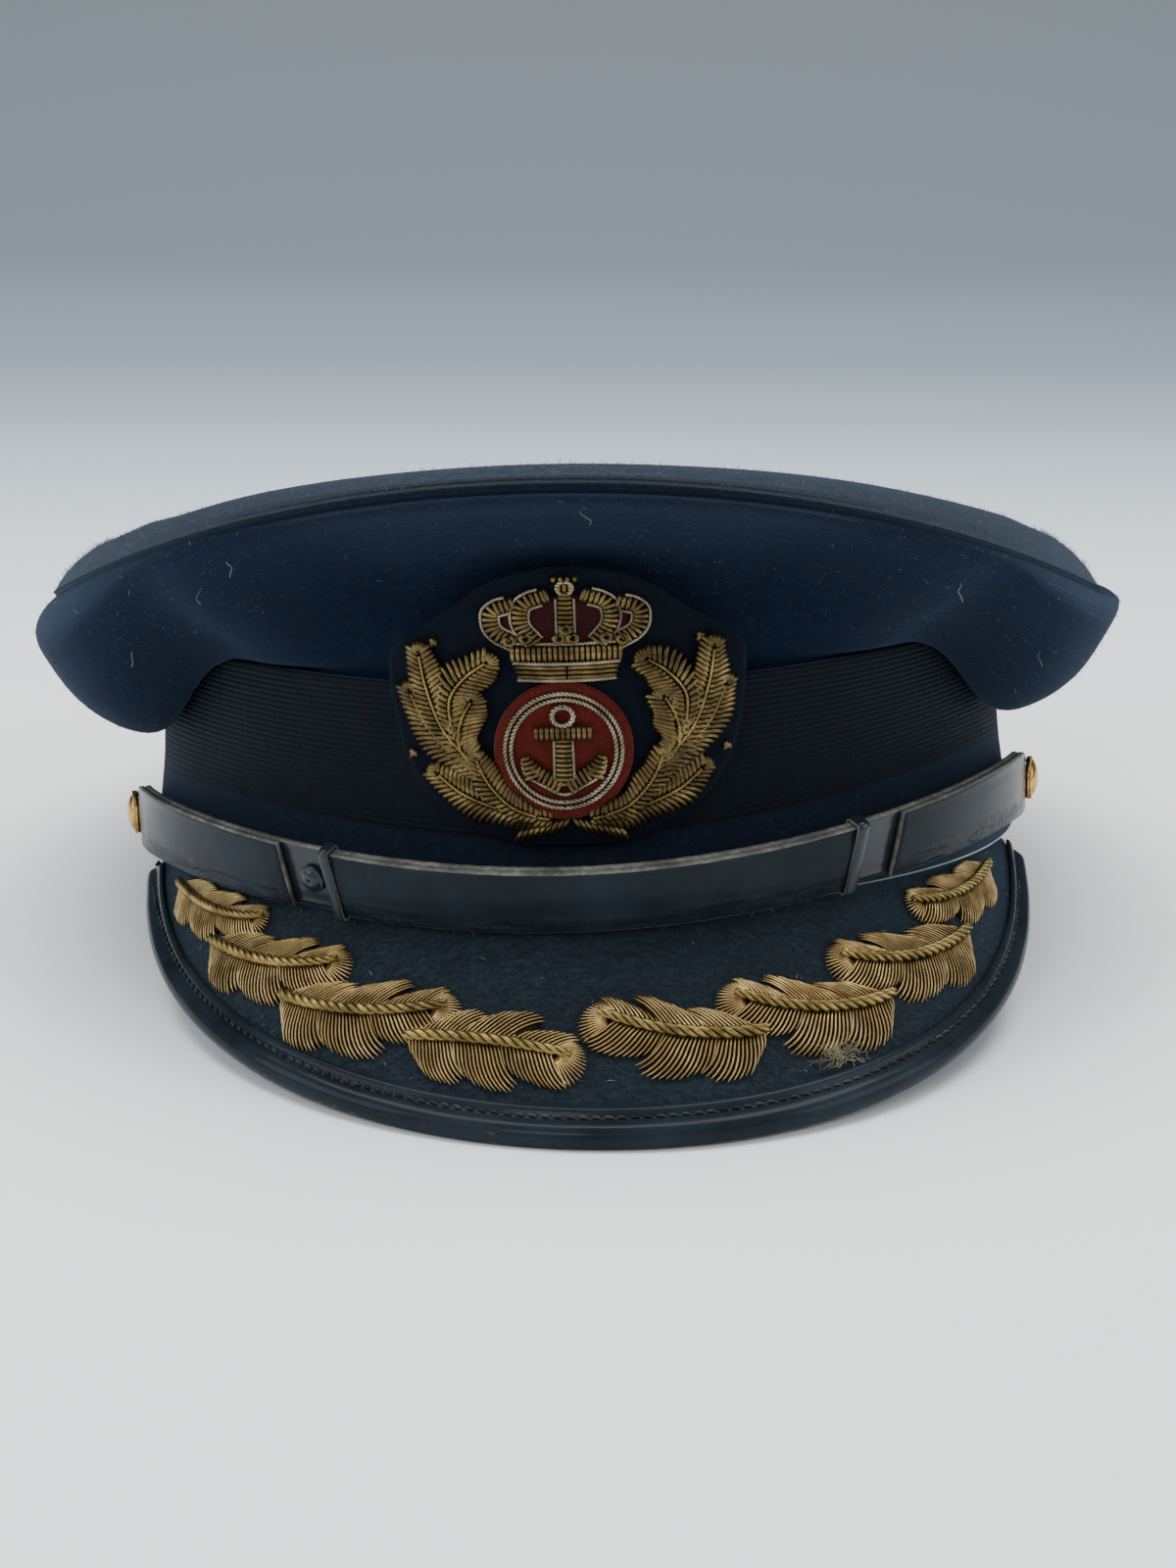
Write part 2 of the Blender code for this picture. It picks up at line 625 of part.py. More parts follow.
def make_straps(parts):
    inner, outer = LEATHER + CLEARANCE, 2 * LEATHER + CLEARANCE
    left, right = KEEPER_ANGLES["keeper_left"], KEEPER_ANGLES["keeper_right"]
    made = {}
    made["strap_back"] = strap_piece("strap_back", -STRAP_END, STRAP_END, 0.0, LEATHER, parts)
    made["strap_left"] = strap_piece("strap_left", -STRAP_END, LEFT_PIECE_END, inner, outer, parts)
    made["strap_middle"] = strap_piece("strap_middle", left, right, inner, outer, parts)
    made["strap_right"] = strap_piece("strap_right", RIGHT_PIECE_START, STRAP_END, inner, outer, parts)
    return made


def make_keeper(name, parts):
    """Loop of leather round both layers of the strap."""
    centre, half = KEEPER_ANGLES[name], KEEPER_WIDTHS[name] / (2 * BAND_FRONT)
    inner = CLEARANCE
    outer = inner + KEEPER_LEATHER
    thick = 2 * LEATHER + CLEARANCE

    def corners(margin):
        return [(-margin, -margin), (STRAP_WIDTH + margin, -margin),
                (STRAP_WIDTH + margin, thick + margin), (-margin, thick + margin)]

    sections = []
    for (low, low_depth), (high, high_depth) in zip(corners(inner), corners(outer)):
        section = []
        for angle, across, depth in ((centre - half, low, low_depth), (centre + half, low, low_depth),
                                     (centre + half, high, high_depth), (centre - half, high, high_depth)):
            section.append(strap_point(angle, across, depth))
        sections.append(section)
    return mesh_piece(name, loft(sections, ring=True), "patent", parts, smooth=False)


def make_snap_stud(parts):
    profile = [(out * STUD_RADIUS, up * STUD_HEIGHT) for out, up in STUD_PROFILE]
    stud = turned_piece("snap_stud", profile, "patent", parts)
    _, _, face = strap_frame(STUD_ANGLE)
    aim(stud, strap_point(STUD_ANGLE, STRAP_WIDTH / 2, LEATHER + CLEARANCE), face)
    return stud


# Side buttons

def make_button(name, angle, parts, cutters):
    """Domed button whose shank passes the strap and the band; returns it with the cutter of its hole."""
    seat = 2 * LEATHER + 2 * CLEARANCE
    centre_height = strap_point(angle, STRAP_WIDTH / 2, 0).z
    behind = BAND_FLARE + STRAP_SIDE_GAP + BAND_WALL - flare(centre_height)
    dome = [(BUTTON_RADIUS * math.sin(turn), seat + BUTTON_RIM + BUTTON_DOME * math.cos(turn))
            for turn in spaced(0, DOME_END, DOME_STEPS)]
    profile = dome + [(BUTTON_RADIUS, seat + BUTTON_RIM), (BUTTON_RADIUS, seat), (SHANK_RADIUS, seat),
                      (SHANK_RADIUS, -behind), (0, -behind)]
    profile[0] = (0, profile[0][1])
    button = turned_piece(name, profile, "gilt", parts)
    _, _, face = strap_frame(angle)
    centre = strap_point(angle, STRAP_WIDTH / 2, 0)
    aim(button, centre, face)

    bpy.ops.mesh.primitive_cylinder_add(vertices=HOLE_STEPS, radius=SHANK_RADIUS + SHANK_ROOM,
                                        depth=2 * behind + 4 * seat)
    cutter = bpy.context.object
    cutter.name = name + "_cutter"
    for holder in list(cutter.users_collection):
        holder.objects.unlink(cutter)
    cutters.objects.link(cutter)
    cutter.hide_render = True
    cutter.display_type = "WIRE"
    aim(cutter, centre, face)
    return button, cutter


# Badge

def badge_bend(bm, width):
    """Cuts a piece drawn flat, with Z as its height above the board, and bends it round the cap."""
    strips = max(round(width / BADGE_STRIP), 2)
    for x in spaced(-width / 2, width / 2, strips)[1:-1]:
        geometry = bm.verts[:] + bm.edges[:] + bm.faces[:]
        bmesh.ops.bisect_plane(bm, geom=geometry, plane_co=(x, 0, 0), plane_no=(1, 0, 0), dist=CUT_DISTANCE)
    bmesh.ops.triangulate(bm, faces=bm.faces)
    for spot in bm.verts:
        spot.co = badge_point(spot.co.x, spot.co.y, spot.co.z)
    return bm


def relief(outline, low, high, inset):
    """Flat solid of an outline with its upper edge drawn in, ready to bend."""
    centre = Vector((sum(p[0] for p in outline), sum(p[1] for p in outline))) / len(outline)
    bm = bmesh.new()
    bottom = [bm.verts.new((x, y, low)) for x, y in outline]
    top = []
    for x, y in outline:
        inward = (centre - Vector((x, y)))
        inward = inward.normalized() * inset if inward.length > inset else Vector((0, 0))
        top.append(bm.verts.new((x + inward.x, y + inward.y, high)))
    bm.faces.new(top)
    bm.faces.new(reversed(bottom))
    for i in range(len(bottom)):
        j = (i + 1) % len(bottom)
        bm.faces.new((bottom[i], bottom[j], top[j], top[i]))
    return bm


def mirrored(rows, half_width, height, base, centre):
    """Full outline from half of it, given from the bottom up."""
    right = [(centre + half * half_width, base + up * height) for half, up in rows]
    left = [(2 * centre - x, y) for x, y in reversed(right)]
    return right + left


def make_badge_backing(parts):
    half = BADGE_WIDTH / 2 + BACKING_MARGIN / 2
    tall = BADGE_HEIGHT + 2 * BACKING_MARGIN
    rows = []
    for up, share in BACKING_OUTLINE:
        across = spaced(-half * share, half * share, BACKING_STEPS)
        rows.append([badge_point(x, up * tall - BACKING_MARGIN, BACKING_THICK) for x in across])
    return sheet_piece("badge_backing", rows, BACKING_THICK, "wool", parts)


def oval_points(size, count, lift):
    """Points round the medallion's centre, at a share of its size."""
    across, up = MEDALLION_WIDTH / 2 * size, MEDALLION_HEIGHT / 2 * size
    middle = MEDALLION_RISE + MEDALLION_HEIGHT / 2
    return [badge_point(MEDALLION_SHIFT + across * math.sin(turn), middle - up * math.cos(turn), lift)
            for turn in round_steps(count)]


def make_badge_medallion(parts):
    floor = BACKING_THICK + CLEARANCE
    rings = [oval_points(size, MEDALLION_STEPS, floor + MEDALLION_THICK * lift)
             for size, lift in MEDALLION_RINGS]
    centre = badge_point(MEDALLION_SHIFT, MEDALLION_RISE + MEDALLION_HEIGHT / 2, floor + MEDALLION_THICK)
    return sheet_piece("badge_medallion", rings, MEDALLION_THICK / 2, "velvet", parts, True, centre)


def make_badge_cord(name, parts):
    """Border cord round the medallion, lying on its face."""
    lift = BACKING_THICK + 2 * CLEARANCE + MEDALLION_THICK + CORD_RADIUS
    return tube_piece(name, oval_points(CORD_SIZES[name], CORD_STEPS, lift), CORD_RADIUS, "bullion", parts)


def make_badge_anchor(parts):
    low = BACKING_THICK + 2 * CLEARANCE + MEDALLION_THICK
    base = MEDALLION_RISE + (MEDALLION_HEIGHT - ANCHOR_HEIGHT) / 2
    outline = mirrored(ANCHOR_OUTLINE, ANCHOR_WIDTH / 2, ANCHOR_HEIGHT, base, MEDALLION_SHIFT)
    bm = badge_bend(relief(outline, low, low + ANCHOR_THICK, 0.0), ANCHOR_WIDTH)
    return mesh_piece("badge_anchor", bm, "bullion", parts, smooth=False)


def make_badge_crown(parts):
    low = BACKING_THICK + CLEARANCE
    tall = BADGE_HEIGHT - ORNAMENT_RISE
    outline = mirrored(ORNAMENT_OUTLINE, ORNAMENT_WIDTH / 2, tall, ORNAMENT_RISE, 0.0)
    bm = badge_bend(relief(outline, low, low + EMBROIDERY, ORNAMENT_BEVEL), ORNAMENT_WIDTH)
    return mesh_piece("badge_crown", bm, "bullion", parts, smooth=False)


def make_badge_wreath(name, side, parts):
    """Curved spray of leaves on one side of the medallion."""
    low, half = BACKING_THICK + CLEARANCE, BADGE_WIDTH / 2
    centre = WREATH_CENTRE_UP * BADGE_HEIGHT
    sections = []
    for values in WREATH_ROWS:
        row = dict(zip(WREATH_COLUMNS, values))
        turn = math.radians(row["turn"])
        reach = row["outer"] + WREATH_LOBE * row["lobe"]
        section = []
        for share, lift in WREATH_SECTION:
            radius = mix(row["inner"], reach, share) * half
            x = side * radius * math.cos(turn)
            up = centre + radius * math.sin(turn) * WREATH_RATIO
            section.append(badge_point(x, up, low + EMBROIDERY * lift))
        sections.append(section)
    return mesh_piece(name, loft(sections), "bullion", parts, smooth=False)


# Leaves on the peak

def visor_move(angle, reach, along, out):
    """Moves a place on the peak by lengths along and out from the band."""
    radius = (visor_point(angle + SMALL, reach) - visor_point(angle - SMALL, reach)).length / (2 * SMALL)
    return angle + along / radius, reach + out


def leaf_midrib(row, share):
    """Place on the peak at a share of the way along a leaf's curved midrib."""
    angle = 0.0
    wide = 0.0
    for weight, spot in (((1 - share) ** 2, "start"), (2 * share * (1 - share), "bend"), (share ** 2, "tip")):
        angle += weight * math.radians(row[spot + "_angle"])
        wide += weight * row[spot + "_share"]
    return angle, wide * visor_width(angle)


def make_leaf(name, parts):
    row = dict(zip(LEAF_COLUMNS, LEAF_ROWS[name]))
    sections = []
    for along, upper, lower in LEAF_OUTLINE:
        angle, reach = leaf_midrib(row, along)
        ahead_angle, ahead_reach = leaf_midrib(row, along + SMALL)
        here, ahead = visor_point(angle, reach), visor_point(ahead_angle, ahead_reach)
        run = ahead - here
        out = ahead_reach - reach
        round_way = math.copysign(math.sqrt(max(run.length_squared - out * out, 0.0)), ahead_angle - angle)
        length = math.hypot(out, round_way)
        half = LEAF_WIDTH / 2 * row["size"]
        section = []
        for across, lift in LEAF_SECTION:
            side = lower if across * round_way > 0 else upper
            step = across * side * half / length
            spot_angle, spot_reach = visor_move(angle, reach, -out * step, round_way * step)
            section.append(visor_point(spot_angle, spot_reach, CLEARANCE + lift))
        sections.append(section)
    return mesh_piece(name, loft(sections), "leaf", parts, smooth=False)


# Resting place

def resting_turn():
    """Turn that lays the peak's front edge and the band's back edge on a level table."""
    below = -VISOR_THICK - BINDING_GAP - BINDING_LEATHER
    left, tip, right = (visor_point(angle, visor_width(angle) - BINDING_ROLL, below)
                        for angle in (-REST_SPREAD, 0.0, REST_SPREAD))
    back, _ = head_oval(math.pi, BAND_FLARE)
    pitch = math.atan2(back.z - tip.z, back.y - tip.y)
    roll = math.atan2(left.z - right.z, right.x - left.x)
    return Matrix.Rotation(-pitch, 4, "X") @ Matrix.Rotation(-roll, 4, "Y")


def lowest_and_middle(things, turn):
    """Centre and height of the underside of all pieces once turned."""
    bpy.context.view_layer.update()
    graph = bpy.context.evaluated_depsgraph_get()
    spots = []
    for thing in things:
        solid = thing.evaluated_get(graph)
        data = solid.to_mesh()
        spots += [turn @ (solid.matrix_world @ spot.co) for spot in data.vertices]
        solid.to_mesh_clear()
    low = Vector([min(spot[i] for spot in spots) for i in range(3)])
    high = Vector([max(spot[i] for spot in spots) for i in range(3)])
    return Vector(((low.x + high.x) / 2, (low.y + high.y) / 2, low.z))


def main():
    remove_everything()
    parts = new_collection("captain_hat")
    cutters = new_collection("cutters")

    band = make_band(parts)
    make_crown_side(parts)
    make_crown_top(parts)
    make_crown_welt(parts)
    make_visor(parts)
    make_visor_binding(parts)
    straps = make_straps(parts)
    for name in KEEPER_ANGLES:
        make_keeper(name, parts)
    make_snap_stud(parts)

    for name, (side, outer) in BUTTONS.items():
        _, cutter = make_button(name, side * BUTTON_ANGLE, parts, cutters)
        for thing in (band, straps["strap_back"], straps[outer]):
            drill(thing, cutter)

    make_badge_backing(parts)
    make_badge_medallion(parts)
    for name in CORD_SIZES:
        make_badge_cord(name, parts)
    make_badge_anchor(parts)
    make_badge_crown(parts)
    make_badge_wreath("badge_wreath_left", -1, parts)
    make_badge_wreath("badge_wreath_right", 1, parts)
    for name in LEAF_ROWS:
        make_leaf(name, parts)

    things = list(parts.objects)
    turn = resting_turn()
    cap = bpy.data.objects.new("cap", None)
    bpy.context.scene.collection.objects.link(cap)
    cap.matrix_world = Matrix.Translation(-lowest_and_middle(things, turn)) @ turn
    for thing in things + list(cutters.objects):
        thing.parent = cap
    bpy.context.view_layer.update()


main()
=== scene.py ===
"""Looks of the officer's cap: cloth, braid, patent leather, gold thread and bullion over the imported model."""

import math
import random

import bpy
import numpy as np
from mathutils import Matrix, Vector, noise


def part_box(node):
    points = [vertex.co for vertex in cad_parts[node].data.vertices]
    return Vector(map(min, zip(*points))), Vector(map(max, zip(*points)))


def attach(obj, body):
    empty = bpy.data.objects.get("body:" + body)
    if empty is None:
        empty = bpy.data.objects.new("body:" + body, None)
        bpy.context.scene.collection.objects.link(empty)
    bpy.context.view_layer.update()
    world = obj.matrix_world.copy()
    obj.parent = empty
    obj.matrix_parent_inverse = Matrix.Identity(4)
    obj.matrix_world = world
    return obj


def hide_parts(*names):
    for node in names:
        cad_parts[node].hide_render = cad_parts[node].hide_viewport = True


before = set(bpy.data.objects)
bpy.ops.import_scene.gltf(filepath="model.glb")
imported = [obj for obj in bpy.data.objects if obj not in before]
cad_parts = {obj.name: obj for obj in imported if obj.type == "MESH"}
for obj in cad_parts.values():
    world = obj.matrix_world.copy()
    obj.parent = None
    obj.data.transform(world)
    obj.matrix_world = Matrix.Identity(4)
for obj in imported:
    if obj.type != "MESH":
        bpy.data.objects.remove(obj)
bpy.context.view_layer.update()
chance = random.Random(7)

MM = 0.001
TAU = 2 * math.pi

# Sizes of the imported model
CLEARANCE = 0.3 * MM
CLOTH = 1.5 * MM
LEATHER = 1.05 * MM
BAND_HALF_WIDTH = 88.8 * MM
BAND_FRONT = 104.3 * MM
BAND_BACK = 99.0 * MM
BAND_HEIGHT = 40.5 * MM
BAND_SIDE_RISE = 5.0 * MM
BAND_WALL = 3.0 * MM
BAND_FLARE = 3.2 * MM
FLARE_HEIGHT = 30.0 * MM
OVERHANG_FRONT = 26.7 * MM
OVERHANG_SIDE = 22.9 * MM
OVERHANG_BACK = 22.0 * MM
SEAM_FRONT = 77.4 * MM
SEAM_SIDE = 50.3 * MM
SEAM_BACK = 52.0 * MM
SEAM_LEAN = 2.4 * MM
SEAM_POWER = 2.12
SAG_SIDE = 18.4 * MM
SAG_BACK = 9.0 * MM
TUCK = 6.0 * MM
TOP_CENTRE_HEIGHT = 74.6 * MM
TOP_CENTRE_BACK = 4.0 * MM
TOP_PUFF = 3.8 * MM
FRONT_HOLD = math.radians(20)
SHOULDER_ANGLE = math.radians(42)
SIDE_ANGLE = math.radians(66)
VISOR_WIDTH = 47.2 * MM
VISOR_END = math.radians(78.8)
VISOR_FALL = 1.32
VISOR_SKEW = 0.13
VISOR_SLOPE_FRONT = math.radians(48.3)
VISOR_SLOPE_SIDE = math.radians(56.8)
VISOR_THICK = 2.4 * MM
BINDING_FLANGE = 4.6 * MM
BINDING_ROLL = 2.7 * MM
BINDING_LEATHER = 0.9 * MM
BINDING_GAP = 0.4 * MM
STRAP_WIDTH = 13.2 * MM
STRAP_GAP = 2.6 * MM
STRAP_SIDE_GAP = 0.3 * MM
STRAP_SEAT = 0.55 * MM
STRAP_LEAN = math.radians(26)
STRAP_CLIMB = 5.4 * MM
STRAP_CLIMB_END = math.radians(60)
STRAP_DROP = 1.4 * MM
STRAP_TILT = 1.2 * MM
STRAP_END = math.radians(84)
STRAP_END_RADIUS = 6.0 * MM
LEFT_PIECE_END = math.radians(-33.2)
RIGHT_PIECE_START = math.radians(36.9)
STUD_ANGLE = math.radians(-29.6)
KEEPERS = {"keeper_left": (math.radians(-26.6), 2.0 * MM), "keeper_right": (math.radians(30.6), 2.7 * MM)}
BUTTON_ANGLE = math.radians(78)
BUTTON_RADIUS = 4.4 * MM
BADGE_WIDTH = 56.4 * MM
BADGE_HEIGHT = 46.8 * MM
BADGE_BASE = 13.8 * MM
BADGE_CENTRE = -0.8 * MM
BADGE_LEAN = math.radians(6.5)
BACKING_MARGIN = 1.8 * MM
BACKING_THICK = 1.6 * MM
MEDALLION_WIDTH = 23.2 * MM
MEDALLION_HEIGHT = 25.2 * MM
MEDALLION_SHIFT = -0.9 * MM
MEDALLION_RISE = 3.2 * MM
MEDALLION_THICK = 1.2 * MM

CROWN_COLUMNS = ("front_out", "front_rise", "shoulder_out", "shoulder_rise",
                 "side_out", "side_rise", "side_sag", "back_out", "back_rise", "back_sag")
CROWN_ROWS = (
    (-0.120, 0.08, 0.02, 0.02, 0.027, 0.02, 0.00, 0.030, 0.02, 0.00),
    (-0.100, 0.22, 0.06, 0.05, 0.033, 0.00, 0.45, 0.045, 0.00, 0.45),
    (-0.050, 0.38, 0.16, 0.13, 0.060, 0.00, 0.86, 0.090, 0.00, 0.85),
    (0.040, 0.52, 0.32, 0.25, 0.210, 0.00, 1.00, 0.230, 0.00, 1.00),
    (0.180, 0.64, 0.51, 0.38, 0.490, 0.00, 0.93, 0.500, 0.00, 0.90),
    (0.380, 0.745, 0.70, 0.53, 0.780, 0.00, 0.69, 0.760, 0.00, 0.55),
    (0.620, 0.84, 0.86, 0.70, 0.990, 0.00, 0.32, 0.950, 0.06, 0.12),
    (0.860, 0.92, 0.97, 0.86, 1.110, 0.00, -0.03, 1.050, 0.50, 0.00),
)
TOP_ROWS = (
    (1.0, 0.0, 0.0), (0.98, 0.065, 0.38), (0.955, 0.16, 0.57), (0.92, 0.235, 0.80), (0.84, 0.37, 1.00),
    (0.65, 0.60, 0.90), (0.45, 0.80, 0.57), (0.25, 0.93, 0.23), (0.0, 1.0, 0.0),
)
BACKING_OUTLINE = (
    (0.0, 0.30), (0.05, 0.52), (0.14, 0.76), (0.28, 0.93), (0.44, 1.0), (0.62, 1.02), (0.72, 1.0),
    (0.79, 0.84), (0.85, 0.68), (0.92, 0.52), (0.97, 0.34), (1.0, 0.12),
)
# Midrib of each leaf: start, bend and tip as degrees round the cap and shares of the peak's width, then size
LEAF_ROWS = {
    "oak_leaf_left_1": (-15.6, 0.625, -8.6, 0.56, 0.2, 0.655, 1.0),
    "oak_leaf_left_2": (-30.1, 0.58, -22, 0.59, -11.2, 0.44, 1.0),
    "oak_leaf_left_3": (-43.5, 0.45, -33, 0.475, -24.4, 0.30, 0.9),
    "oak_leaf_left_4": (-56.5, 0.16, -47, 0.32, -36.5, 0.15, 0.68),
    "oak_leaf_right_1": (16.5, 0.60, 9, 0.605, 0.6, 0.445, 1.0),
    "oak_leaf_right_2": (30.5, 0.59, 22, 0.60, 13.6, 0.40, 1.0),
    "oak_leaf_right_3": (45, 0.47, 35, 0.52, 26, 0.31, 0.95),
    "oak_leaf_right_4": (57, 0.16, 49, 0.32, 38.5, 0.15, 0.72),
}

# Painted shade, standing in for light falling off: the floor darkens behind the cap; where each shade starts
# and ends, and its colour
PAINTED_FLOOR_SHADE = ((0.15, 0.38, (0.62, 0.69, 0.75)), (0.38, 0.59, (0.36, 0.42, 0.475)),
                (0.59, 0.75, (0.25, 0.305, 0.355)), (0.9, 1.5, (0.205, 0.23, 0.25)))
# Soft lights: place, target, width, height, power and colour
LIGHTS = {
    "overhead": ((0.0, 0.15, 1.4), (0, -0.05, 0.02), 1.6, 0.9, 35.0, (1.0, 0.985, 0.96)),
    "front": ((-0.3, -1.3, 0.8), (0, -0.12, 0.02), 0.5, 0.3, 3.5, (1.0, 0.98, 0.95)),
    "window_left": ((-1.6, -0.6, 0.9), (0, -0.05, 0.05), 1.4, 1.0, 17.0, (0.86, 0.93, 1.0)),
    "fill_right": ((1.7, -0.5, 0.8), (0, -0.05, 0.05), 1.4, 1.0, 14.0, (0.92, 0.96, 1.0)),
}
WORLD_COLOUR = (0.72, 0.80, 0.90, 1)
WORLD_STRENGTH = 0.58
FLOOR_FRONT, FLOOR_SIDE, WALL_HEIGHT = -3.0, 4.0, 3.0
SWEEP_START, SWEEP_RADIUS = 1.1, 0.6
CAMERA_TURNS = (8.39, -1.59, -0.64)          # pitch, roll and yaw in degrees, from the cap's own frame
CAMERA_PLACE = (1.09, -632.49, 100.45)       # in millimetres
LENS, SENSOR = 67.5, 36.0


def mix(start, end, share):
    return start + (end - start) * share


def ease(share):
    share = min(max(share, 0.0), 1.0)
    return share * share * (3 - 2 * share)


def travelled(path):
    """How far along a path each of its points lies."""
    return np.concatenate([[0], np.cumsum(np.linalg.norm(np.diff(path, axis=0), axis=1))])


def at_lengths(path, length, spots):
    """Points of a path at the given lengths along it."""
    return np.stack([np.interp(spots, length, path[:, k]) for k in range(path.shape[1])], -1)


# The cap's driving surfaces, in the cap's own frame

def head_oval(angle, grow=0.0):
    depth = BAND_FRONT if math.cos(angle) > 0 else BAND_BACK
    normal = Vector((math.sin(angle) / BAND_HALF_WIDTH, -math.cos(angle) / depth, 0)).normalized()
    point = Vector((BAND_HALF_WIDTH * math.sin(angle), -depth * math.cos(angle), 0))
    return point + normal * grow, normal


def wall_point(angle, out, height):
    return head_oval(angle, out)[0] + Vector((0, 0, height))


def band_top(angle):
    return BAND_HEIGHT + BAND_SIDE_RISE * math.sin(angle) ** 2


def flare(height):
    return BAND_FLARE * max(1 - height / FLARE_HEIGHT, 0.0) ** 2


def overhang(angle):
    end = OVERHANG_FRONT if math.cos(angle) > 0 else OVERHANG_BACK
    return mix(OVERHANG_SIDE, end, math.cos(angle) ** 2)


def seam_height(angle):
    forward = math.cos(angle)
    if forward > 0:
        level = mix(SEAM_SIDE, SEAM_FRONT, forward ** SEAM_POWER)
    else:
        level = mix(SEAM_SIDE, SEAM_BACK, forward ** 2)
    return level - SEAM_LEAN * math.sin(angle)


def seam_out(angle):
    """The seam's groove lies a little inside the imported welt, most of all at the sides."""
    return overhang(angle) - mix(0.5 * MM, 1.5 * MM, math.sin(angle) ** 2)


def crown_section(angle):
    turn = abs(math.atan2(math.sin(angle), math.cos(angle)))
    to_shoulder = ease((turn - FRONT_HOLD) / (SHOULDER_ANGLE - FRONT_HOLD))
    to_side = ease((turn - SHOULDER_ANGLE) / (SIDE_ANGLE - SHOULDER_ANGLE))
    to_back = ease((turn - SIDE_ANGLE) / (math.pi - SIDE_ANGLE))
    base, span = band_top(angle), seam_height(angle) - band_top(angle)
    sag = mix(SAG_SIDE, SAG_BACK, to_back)
    hug = CLEARANCE * 1.4
    profile = [(-BAND_WALL - hug, base - TUCK), (-BAND_WALL - hug, base + hug)]
    for values in CROWN_ROWS:
        row = dict(zip(CROWN_COLUMNS, values))
        out = mix(row["front_out"], row["shoulder_out"], to_shoulder)
        rise = mix(row["front_rise"], row["shoulder_rise"], to_shoulder)
        out = mix(mix(out, row["side_out"], to_side), row["back_out"], to_back)
        rise = mix(mix(rise, row["side_rise"], to_side), row["back_rise"], to_back)
        drop = mix(row["side_sag"] * to_side, row["back_sag"], to_back)
        profile.append((out * overhang(angle), base + rise * span - drop * sag + hug))
    reach, top = seam_out(angle), seam_height(angle)
    profile.append((mix(reach, profile[-1][0], 0.42) + 0.5 * MM * to_side, mix(top, profile[-1][1], 0.42)))
    profile.append((reach + 0.15 * MM, top - 1.1 * MM))
    profile.append((reach - 0.25 * MM, top - 0.45 * MM))
    profile.append((reach - 1.0 * MM, top - 0.2 * MM))
    return profile


def visor_width(angle):
    share = angle / VISOR_END
    return VISOR_WIDTH * (1 + VISOR_SKEW * math.sin(angle)) * max(1 - share * share, 0.0) ** VISOR_FALL


def visor_point(angle, reach, lift=0.0):
    base, normal = head_oval(angle, BAND_FLARE)
    slope = mix(VISOR_SLOPE_FRONT, VISOR_SLOPE_SIDE, (angle / VISOR_END) ** 2)
    down = normal * math.cos(slope) - Vector((0, 0, math.sin(slope)))
    up = normal * math.sin(slope) + Vector((0, 0, math.cos(slope)))
    return base - Vector((0, 0, CLEARANCE)) + down * reach + up * lift


def visor_limit():
    angle = VISOR_END
    while visor_width(-angle) < BINDING_ROLL + 1.5 * VISOR_THICK:
        angle -= VISOR_END / 400
    return angle


def strap_frame(angle):
    base, normal = head_oval(angle, BAND_FLARE + mix(STRAP_GAP, STRAP_SIDE_GAP, math.sin(angle) ** 4))
    above = STRAP_SEAT - STRAP_GAP * math.sin(VISOR_SLOPE_FRONT)
    seat = above / math.cos(VISOR_SLOPE_FRONT) - CLEARANCE
    climb = STRAP_CLIMB * ease(abs(angle) / STRAP_CLIMB_END) + STRAP_TILT * math.sin(angle)
    climb -= STRAP_DROP * ease((abs(angle) - STRAP_CLIMB_END) / (STRAP_END - STRAP_CLIMB_END))
    lean = STRAP_LEAN * max(math.cos(angle), 0.0) ** 2
    rise = Vector((0, 0, 1))
    across = normal * math.sin(lean) + rise * math.cos(lean)
    face = normal * math.cos(lean) - rise * math.sin(lean)
    return base + rise * (seat + climb), across, face


def strap_point(angle, across, depth):
    origin, upward, face = strap_frame(angle)
    return origin + upward * across + face * depth


def badge_point(x, up, lift):
    angle = math.asin((x + BADGE_CENTRE) / BAND_HALF_WIDTH)
    height = BADGE_BASE + up
    foot = BADGE_BASE - BACKING_MARGIN
    board = flare(foot) + CLEARANCE + (height - foot) * math.tan(BADGE_LEAN)
    return wall_point(angle, board + lift, height)


def resting_turn():
    """Turn from the cap's own frame to the row frame, as the CAD lays the cap down."""
    below = -VISOR_THICK - BINDING_GAP - BINDING_LEATHER
    spread = math.radians(20)
    left, tip, right = (visor_point(a, visor_width(a) - BINDING_ROLL, below) for a in (-spread, 0.0, spread))
    back, _ = head_oval(math.pi, BAND_FLARE)
    pitch = math.atan2(back.z - tip.z, back.y - tip.y)
    roll = math.atan2(left.z - right.z, right.x - left.x)
    cp, sp, cr, sr = math.cos(-pitch), math.sin(-pitch), math.cos(-roll), math.sin(-roll)
    about_x = np.array([[1, 0, 0], [0, cp, -sp], [0, sp, cp]])
    about_y = np.array([[cr, 0, sr], [0, 1, 0], [-sr, 0, cr]])
    return about_x @ about_y


TURN = resting_turn()


def resting_shift():
    """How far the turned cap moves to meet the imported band."""
    spots = []
    for i in range(48):
        angle = TAU * i / 48
        for height in (0.0, band_top(angle)):
            for out in (flare(height), flare(height) - BAND_WALL):
                spots.append(wall_point(angle, out, height))
    return np.array(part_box("band")[0]) - (np.array(spots) @ TURN.T).min(0)


SHIFT = resting_shift()


def to_row(points):
    return np.asarray(points, float) @ TURN.T + SHIFT


# Materials

